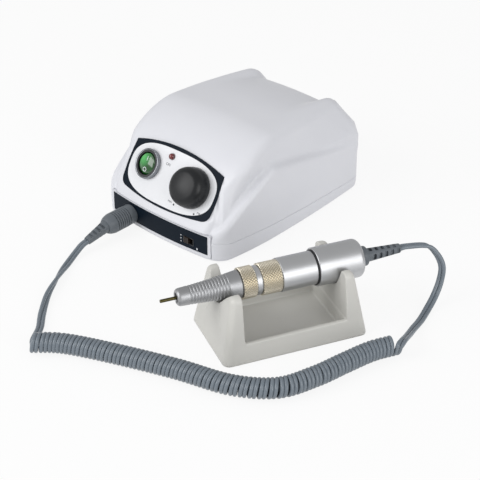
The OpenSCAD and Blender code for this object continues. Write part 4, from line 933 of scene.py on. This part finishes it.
def makeRest():
    rest = nodeCopy("handpiece_rest")
    rest.name = rest.data.name = "handpieceRest"
    onlySelect(rest)
    rest.data.remesh_voxel_size = restForm["voxel"] * mm
    rest.data.use_remesh_fix_poles = False
    bpy.ops.object.voxel_remesh()
    ease = rest.modifiers.new("round", "SMOOTH")
    ease.factor, ease.iterations = restForm["ease"], restForm["passes"]
    applyAll(rest)
    for v in rest.data.vertices:
        if v.co.z <= restForm["flatUnder"] * mm:
            v.co.z = 0.0
    onlySelect(rest)
    bpy.ops.object.shade_smooth()
    return rest


handpieceRest = makeRest()
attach(handpieceRest, "control_unit")
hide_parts("handpiece_rest")
print("rest made,", len(handpieceRest.data.polygons), "faces")

# Printed marks: dots and words of the dial, the lamp's word, and ticks beside the slide switch
marks = {"dots": [(12.3, 12.8), (32.3, 12.8)], "dotRadius": 0.75,
         "words": [("MIN", (7.9, 13.6), 2.2), ("MAX", (36.9, 14.6), 2.2), ("ON", (-5.95, 38.4), 3.0)],
         "ticks": [(25.6, 14.4), (25.6, 11.8), (25.6, 9.2)], "far": (40.6, 7.6), "lift": 0.02,
         "tickRadius": 0.5, "farRadius": 0.9, "stripOut": 0.45}


def makeDialPrint():
    printed = [rod(marks["dotRadius"], (0, 0, 0), marks["lift"] * 2, onPanel(at, panelParts["overlayOut"]), 24)
               for at in marks["dots"]]
    for word, at, size in marks["words"]:
        deselectAll()
        bpy.ops.object.text_add()
        text = bpy.context.object
        text.data.body, text.data.size, text.data.extrude = word, size * mm, marks["lift"] * mm
        text.data.align_x, text.data.align_y = "CENTER", "CENTER"
        bpy.ops.object.convert(target="MESH")
        text = bpy.context.object
        settle(text, onPanel(at, panelParts["overlayOut"] + marks["lift"]))
        printed.append(text)
    return joinAs("dialPrint", printed)


def makeSwitchTicks():
    f = marks
    parts = [rod(f["tickRadius"], (0, 0, 0), f["lift"] * 2, onChin(at, f["stripOut"]), 20) for at in f["ticks"]]
    parts.append(rod(f["farRadius"], (0, 0, 0), f["lift"] * 2, onChin(f["far"], f["stripOut"]), 24))
    return joinAs("switchTicks", parts)


dialPrint, switchTicks = makeDialPrint(), makeSwitchTicks()
for piece, slotName in ((dialPrint, "overlay_navy"), (switchTicks, "housing_white")):
    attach(piece, "control_unit")


def linear(code):
    # an sRGB hex value as linear light
    parts = [int(code[i:i + 2], 16) / 255 for i in (1, 3, 5)]
    return tuple(c / 12.92 if c <= 0.04045 else ((c + 0.055) / 1.055) ** 2.4 for c in parts) + (1.0,)


def put(tree, kind, inputs=(), **settings):
    # adds a node, sets it up and links or fills its inputs
    node = tree.nodes.new("ShaderNode" + kind)
    for name, value in settings.items():
        setattr(node, name, value)
    for socket, value in dict(inputs).items():
        if isinstance(value, bpy.types.NodeSocket):
            tree.links.new(value, node.inputs[socket])
        else:
            node.inputs[socket].default_value = value
    return node


def newFinish(name):
    finish = bpy.data.materials.new(name)
    finish.use_nodes = True
    finish.node_tree.nodes.clear()
    return finish, finish.node_tree, put(finish.node_tree, "TexCoord").outputs["Object"]


def closeFinish(tree, shaderInputs):
    shader = put(tree, "BsdfPrincipled", shaderInputs)
    put(tree, "OutputMaterial", {"Surface": shader.outputs["BSDF"]})


def perMetre(size):
    return 1000.0 / size


def layered(tree, drift, tones, grains, roughness, spread, strength, deep, sockets):
    # the colour follows the drift, the gloss and the bump follow the grains
    tone = put(tree, "Mix", {0: drift.outputs["Fac"], 6: linear(tones[0]), 7: linear(tones[1])},
               data_type="RGBA")
    rough = put(tree, "MapRange", {"Value": grains.outputs["Fac"], "To Min": roughness - spread,
                                   "To Max": roughness + spread})
    bump = put(tree, "Bump", {"Height": grains.outputs["Fac"], "Strength": strength, "Distance": deep * mm})
    closeFinish(tree, {"Base Color": tone.outputs[2], "Roughness": rough.outputs[0],
                       "Normal": bump.outputs[0], **sockets})


def moulded(name, colour, shade, roughness, grain, deep, cloud=35.0, **sockets):
    # moulded plastic and rubber: slow colour drift, and a fine spark-eroded grain that breaks the gloss
    finish, tree, at = newFinish(name)
    drift = put(tree, "TexNoise", {"Vector": at, "Scale": perMetre(cloud), "Detail": 2.0})
    grains = put(tree, "TexNoise", {"Vector": at, "Scale": perMetre(grain), "Detail": 3.0, "Roughness": 0.6})
    layered(tree, drift, (colour, shade), grains, roughness, 0.06, 0.35, deep, sockets)
    return finish


def turned(name, colour, shade, roughness, line, deep):
    # lathe-turned metal: fine tool lines run round the handpiece's axis and vary its gloss
    finish, tree, at = newFinish(name)
    along = put(tree, "VectorMath", {0: at, 1: tuple(handpieceWay)}, operation="DOT_PRODUCT")
    lines = put(tree, "TexNoise", {"W": along.outputs["Value"], "Scale": perMetre(line), "Detail": 2.0},
                noise_dimensions="1D")
    smudge = put(tree, "TexNoise", {"Vector": at, "Scale": perMetre(9.0), "Detail": 3.0})
    layered(tree, smudge, (colour, shade), lines, roughness, 0.07, 0.4, deep, {"Metallic": 1.0})
    return finish


def lampLens(name, shadedRimColour, paintedLightColour, middle, reach, roughness):
    # coloured clear plastic, polished: a painted highlight makes it brighter near the middle, and painted shade
    # makes it deeper towards the rim
    finish, tree, at = newFinish(name)
    away = put(tree, "VectorMath", {0: at, 1: tuple(middle)}, operation="DISTANCE")
    fall = put(tree, "MapRange", {"Value": away.outputs["Value"], "From Min": 0.15 * reach * mm,
                                  "From Max": reach * mm})
    cells = put(tree, "TexNoise", {"Vector": at, "Scale": perMetre(2.4), "Detail": 2.0})
    tone = put(tree, "Mix", {0: fall.outputs[0], 6: linear(paintedLightColour), 7: linear(shadedRimColour)},
               data_type="RGBA")
    bump = put(tree, "Bump", {"Height": cells.outputs["Fac"], "Strength": 0.12, "Distance": 0.1 * mm})
    closeFinish(tree, {"Base Color": tone.outputs[2], "Roughness": roughness, "Normal": bump.outputs[0],
                       "IOR": 1.5, "Coat Weight": 1.0, "Coat Roughness": 0.04})
    return finish


# Injection-moulded white ABS: cool white with a soft sheen, duller on the rear panel
whiteAbs = moulded("whiteAbsMoulded", "#dedfe4", "#d9dae0", 0.36, 0.5, 0.012)
rearAbs = moulded("rearPanelAbsMoulded", "#d3d4d8", "#cecfd4", 0.5, 0.6, 0.02)
# Screen-printed polyester film on the panel and the front: even colour, low sheen
navyFilm = moulded("navyPrintedFilm", "#0c1824", "#0a1520", 0.46, 0.3, 0.006, **{"Specular IOR Level": 0.1})
whiteFilm = moulded("whitePrintedFilm", "#e6e7ea", "#e2e3e7", 0.34, 0.3, 0.006)
darkInk = moulded("darkPrintedInk", "#33383f", "#2c3138", 0.5, 0.3, 0.004)
whiteInk = moulded("whitePrintedInk", "#dcdee2", "#d2d5da", 0.5, 0.3, 0.004)
# Glass-filled black nylon of the switches and sockets: low sheen
blackNylon = moulded("blackNylonMoulded", "#1b1c1f", "#232428", 0.45, 0.35, 0.02)
# ABS knob with a satin mould texture: broad soft highlights
knobAbs = moulded("blackAbsSatin", "#16181b", "#131518", 0.37, 0.4, 0.015, **{"Specular IOR Level": 0.38})
# Nylon of the slider: browner than that of the switches
sliderNylon = moulded("brownBlackNylonMoulded", "#2e241f", "#251d19", 0.42, 0.35, 0.02)
# Warm grey polystyrene of the rest: soft satin moulding
restStyrene = moulded("warmGreyPolystyreneMoulded", "#cdccc7", "#c7c6c1", 0.42, 0.6, 0.02)
# Grey PVC of cord, plug and boot: rubbery sheen, slight mould bloom
cordPvc = moulded("greyPvcExtruded", "#757e86", "#6b747d", 0.27, 0.35, 0.02, cloud=14.0)
plugPvc = moulded("greyPvcMoulded", "#646a70", "#5c6268", 0.44, 0.35, 0.025, cloud=14.0)
# Moulded rubber of feet and seal: dull and dark
blackRubber = moulded("blackRubberMoulded", "#1a1b1d", "#212225", 0.62, 0.4, 0.03)
# Inside: phenolic, coated board, sleeves, tape, sintered and pressed pieces, mostly matt
potResin = moulded("greyPhenolicMoulded", "#70726c", "#686a64", 0.6, 0.6, 0.02)
boardFibre = moulded("greenSolderMaskOnFibreglass", "#22583a", "#1e4f34", 0.35, 0.8, 0.02)
capacitorFilm = moulded("blueShrinkSleeve", "#27344e", "#222e46", 0.3, 0.6, 0.01)
coilTape = moulded("yellowPolyesterTapeWound", "#c2a23a", "#b69632", 0.35, 1.2, 0.03)
ferrite = moulded("ferriteSintered", "#3c3d40", "#34353a", 0.7, 0.5, 0.03)
carbon = moulded("carbonPressed", "#2a2a2c", "#232325", 0.75, 0.4, 0.03)
couplingNylon = moulded("greyNylonMoulded", "#4a4c50", "#434549", 0.5, 0.5, 0.02)
# Turned, satin anodised aluminium of nose, sleeve and motor housing
noseMetal = turned("aluminiumTurnedAnodised", "#acadaf", "#a6a7a9", 0.46, 0.35, 0.006)
sleeveMetal = turned("aluminiumTurnedSatin", "#c5c6c8", "#bfc0c2", 0.42, 0.3, 0.005)
# Nickel-plated brass with a cut knurl: a warm grey that glitters
knurlMetal = turned("nickelPlatedBrassKnurled", "#d9d2c2", "#cfc7b6", 0.32, 0.4, 0.004)
# Drawn brass of the shank and blued steel of the collet: dark, with a soft gloss; the shank's brass is darkened
# as painted shade for the shadow of the nose
shankBrassPaintedShade = turned("brassDrawnPaintedShade", "#565032", "#4b462c", 0.4, 0.3, 0.004)
colletMetal = turned("toolSteelBlued", "#6d6a58", "#625f50", 0.4, 0.3, 0.004)
# Plated, extruded, stamped and wound metal of small pieces and of the inside
plated = turned("zincPlatedSteel", "#b4b7bb", "#a9acb1", 0.32, 0.4, 0.004)
trimChrome = turned("chromePlatedAbs", "#8d8f94", "#85878c", 0.2, 0.5, 0.003)
sinkMetal = turned("aluminiumExtruded", "#a4a6aa", "#9b9da1", 0.42, 0.6, 0.01)
coreIron = turned("siliconSteelLaminated", "#7f8286", "#75787c", 0.5, 0.5, 0.03)
brass = turned("brassStamped", "#b8964a", "#ab8a42", 0.33, 0.4, 0.004)
copper = turned("enamelledCopperWound", "#a85e30", "#9a5529", 0.35, 0.5, 0.03)
# Clear coloured styrene of the rocker and the lamp, with painted light near a spot and painted shade towards
# the rim
# the rocker's painted highlight sits up and to the left of its middle
rockerPaintedLightSpot = onPanel(panelParts["switchAt"], 3.0) @ Vector((-0.0045, 0.0035, 0))
rockerLens = lampLens("greenClearPolycarbonateMoulded", "#07480f", "#4fb55d", rockerPaintedLightSpot, 8.5, 0.12)
# the lamp's painted highlight sits over its middle, with painted shade towards its rim
lampPaintedLightSpot = onPanel(panelParts["lampAt"], 2.0).to_translation()
lampLensRed = lampLens("redClearEpoxyCast", "#40080e", "#84121b", lampPaintedLightSpot, 3.0, 0.1)

newFinishes = {
    topHousing: whiteAbs, baseTray: whiteAbs, speedKnob: knobAbs, knobMark: whiteInk, powerRocker: rockerLens,
    rockerMarks: whiteInk, switchTrim: trimChrome, nose: noseMetal, chuckRing: knurlMetal, gripRing: knurlMetal,
    middleSleeve: sleeveMetal, motorHousing: sleeveMetal, sealRing: blackRubber, cordBoot: plugPvc,
    toolShank: shankBrassPaintedShade, plugGrip: plugPvc, handpieceRest: restStyrene, cordRun: cordPvc, cordTail: cordPvc,
    dialPrint: darkInk, switchTicks: whiteInk}
for piece, finish in newFinishes.items():
    piece.data.materials.clear()
    piece.data.materials.append(finish)
nodeFinishes = {
    whiteAbs: ["chin_plate"], navyFilm: ["chin_overlay", "panel_border"], whiteFilm: ["panel_face"],
    blackNylon: ["power_switch", "handpiece_socket", "direction_switch", "mains_inlet", "pedal_jack",
                 "motor_end_cap"],
    lampLensRed: ["indicator_lamp"], sliderNylon: ["direction_slider"], potResin: ["speed_control"],
    plated: ["speed_control_shaft", "speed_control_nut", "board_screws", "rear_panel_screws", "base_screws",
             "pedal_jack_nut", "plug_shield", "spindle", "spindle_bearings", "motor_shaft", "motor_bearings"],
    boardFibre: ["control_board"], capacitorFilm: ["board_capacitors"], sinkMetal: ["heat_sink"],
    coreIron: ["transformer_core", "rotor_core"], coilTape: ["transformer_coil"], rearAbs: ["rear_panel"],
    brass: ["inlet_pins", "plug_pins", "commutator"], blackRubber: ["rubber_feet"], colletMetal: ["collet"],
    couplingNylon: ["drive_coupling"], copper: ["rotor_winding"], ferrite: ["motor_magnets"],
    carbon: ["carbon_brushes"]}
for finish, nodes in nodeFinishes.items():
    for node in nodes:
        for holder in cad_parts[node].material_slots:
            holder.material = finish
print("finishes set")

# Stage: a pale floor that keeps soft shadows, two soft boxes and even light all round
stageValues = {"floorSize": 6.0, "floorDrop": 0.0003, "glow": 0.88, "aim": (0.0, -0.02, 0.03),
               "key": (-0.6, -1.25, 0.85), "keyPower": 13.0, "keySize": 1.1,
               "fill": (1.3, -0.3, 0.55), "fillPower": 7.0, "fillSize": 0.9, "ambient": 0.56}


def seenBy(tree, rays):
    # 1 for the named kinds of rays, 0 for all others
    path = put(tree, "LightPath")
    seen = path.outputs[rays[0]]
    for kind in rays[1:]:
        seen = put(tree, "Math", {0: seen, 1: path.outputs[kind]}, operation="MAXIMUM").outputs[0]
    return seen


deselectAll()
bpy.ops.mesh.primitive_plane_add(size=stageValues["floorSize"], location=(0, 0, -stageValues["floorDrop"]))
floor = bpy.context.object
floor.name = "floor"
floorPaint = bpy.data.materials.new("paleFloorPaper")
floorPaint.use_nodes = True
tree = floorPaint.node_tree
tree.nodes.clear()
seen = seenBy(tree, ["Is Camera Ray", "Is Glossy Ray", "Is Transmission Ray"])
share = put(tree, "Math", {0: seen, 1: stageValues["glow"]}, operation="MULTIPLY")
paper = put(tree, "BsdfDiffuse", {"Color": linear("#f0f0f0")})
glow = put(tree, "Emission", {"Color": (1, 1, 1, 1), "Strength": 1.0})
both = put(tree, "MixShader", {0: share.outputs[0], 1: paper.outputs[0], 2: glow.outputs[0]})
put(tree, "OutputMaterial", {"Surface": both.outputs[0]})
floor.data.materials.append(floorPaint)


def softBox(name, spot, power, size):
    bpy.ops.object.light_add(type="AREA", location=spot)
    lamp = bpy.context.object
    lamp.name = name
    lamp.data.energy, lamp.data.size = power, size
    aim = Vector(spot) - Vector(stageValues["aim"])
    lamp.rotation_euler = aim.to_track_quat("Z", "Y").to_euler()


for side in ("key", "fill"):
    softBox(side + "Box", stageValues[side], stageValues[side + "Power"], stageValues[side + "Size"])
world = bpy.data.worlds.new("studio")
scene.world = world
world.use_nodes = True
tree = world.node_tree
tree.nodes.clear()
seen = seenBy(tree, ["Is Camera Ray", "Is Transmission Ray"])
strength = put(tree, "MapRange", {"Value": seen, "To Min": stageValues["ambient"], "To Max": 1.0})
sky = put(tree, "Background", {"Color": (1, 1, 1, 1), "Strength": strength.outputs[0]})
put(tree, "OutputWorld", {"Surface": sky.outputs[0]})
scene.view_settings.view_transform = "Standard"

print("stage set")
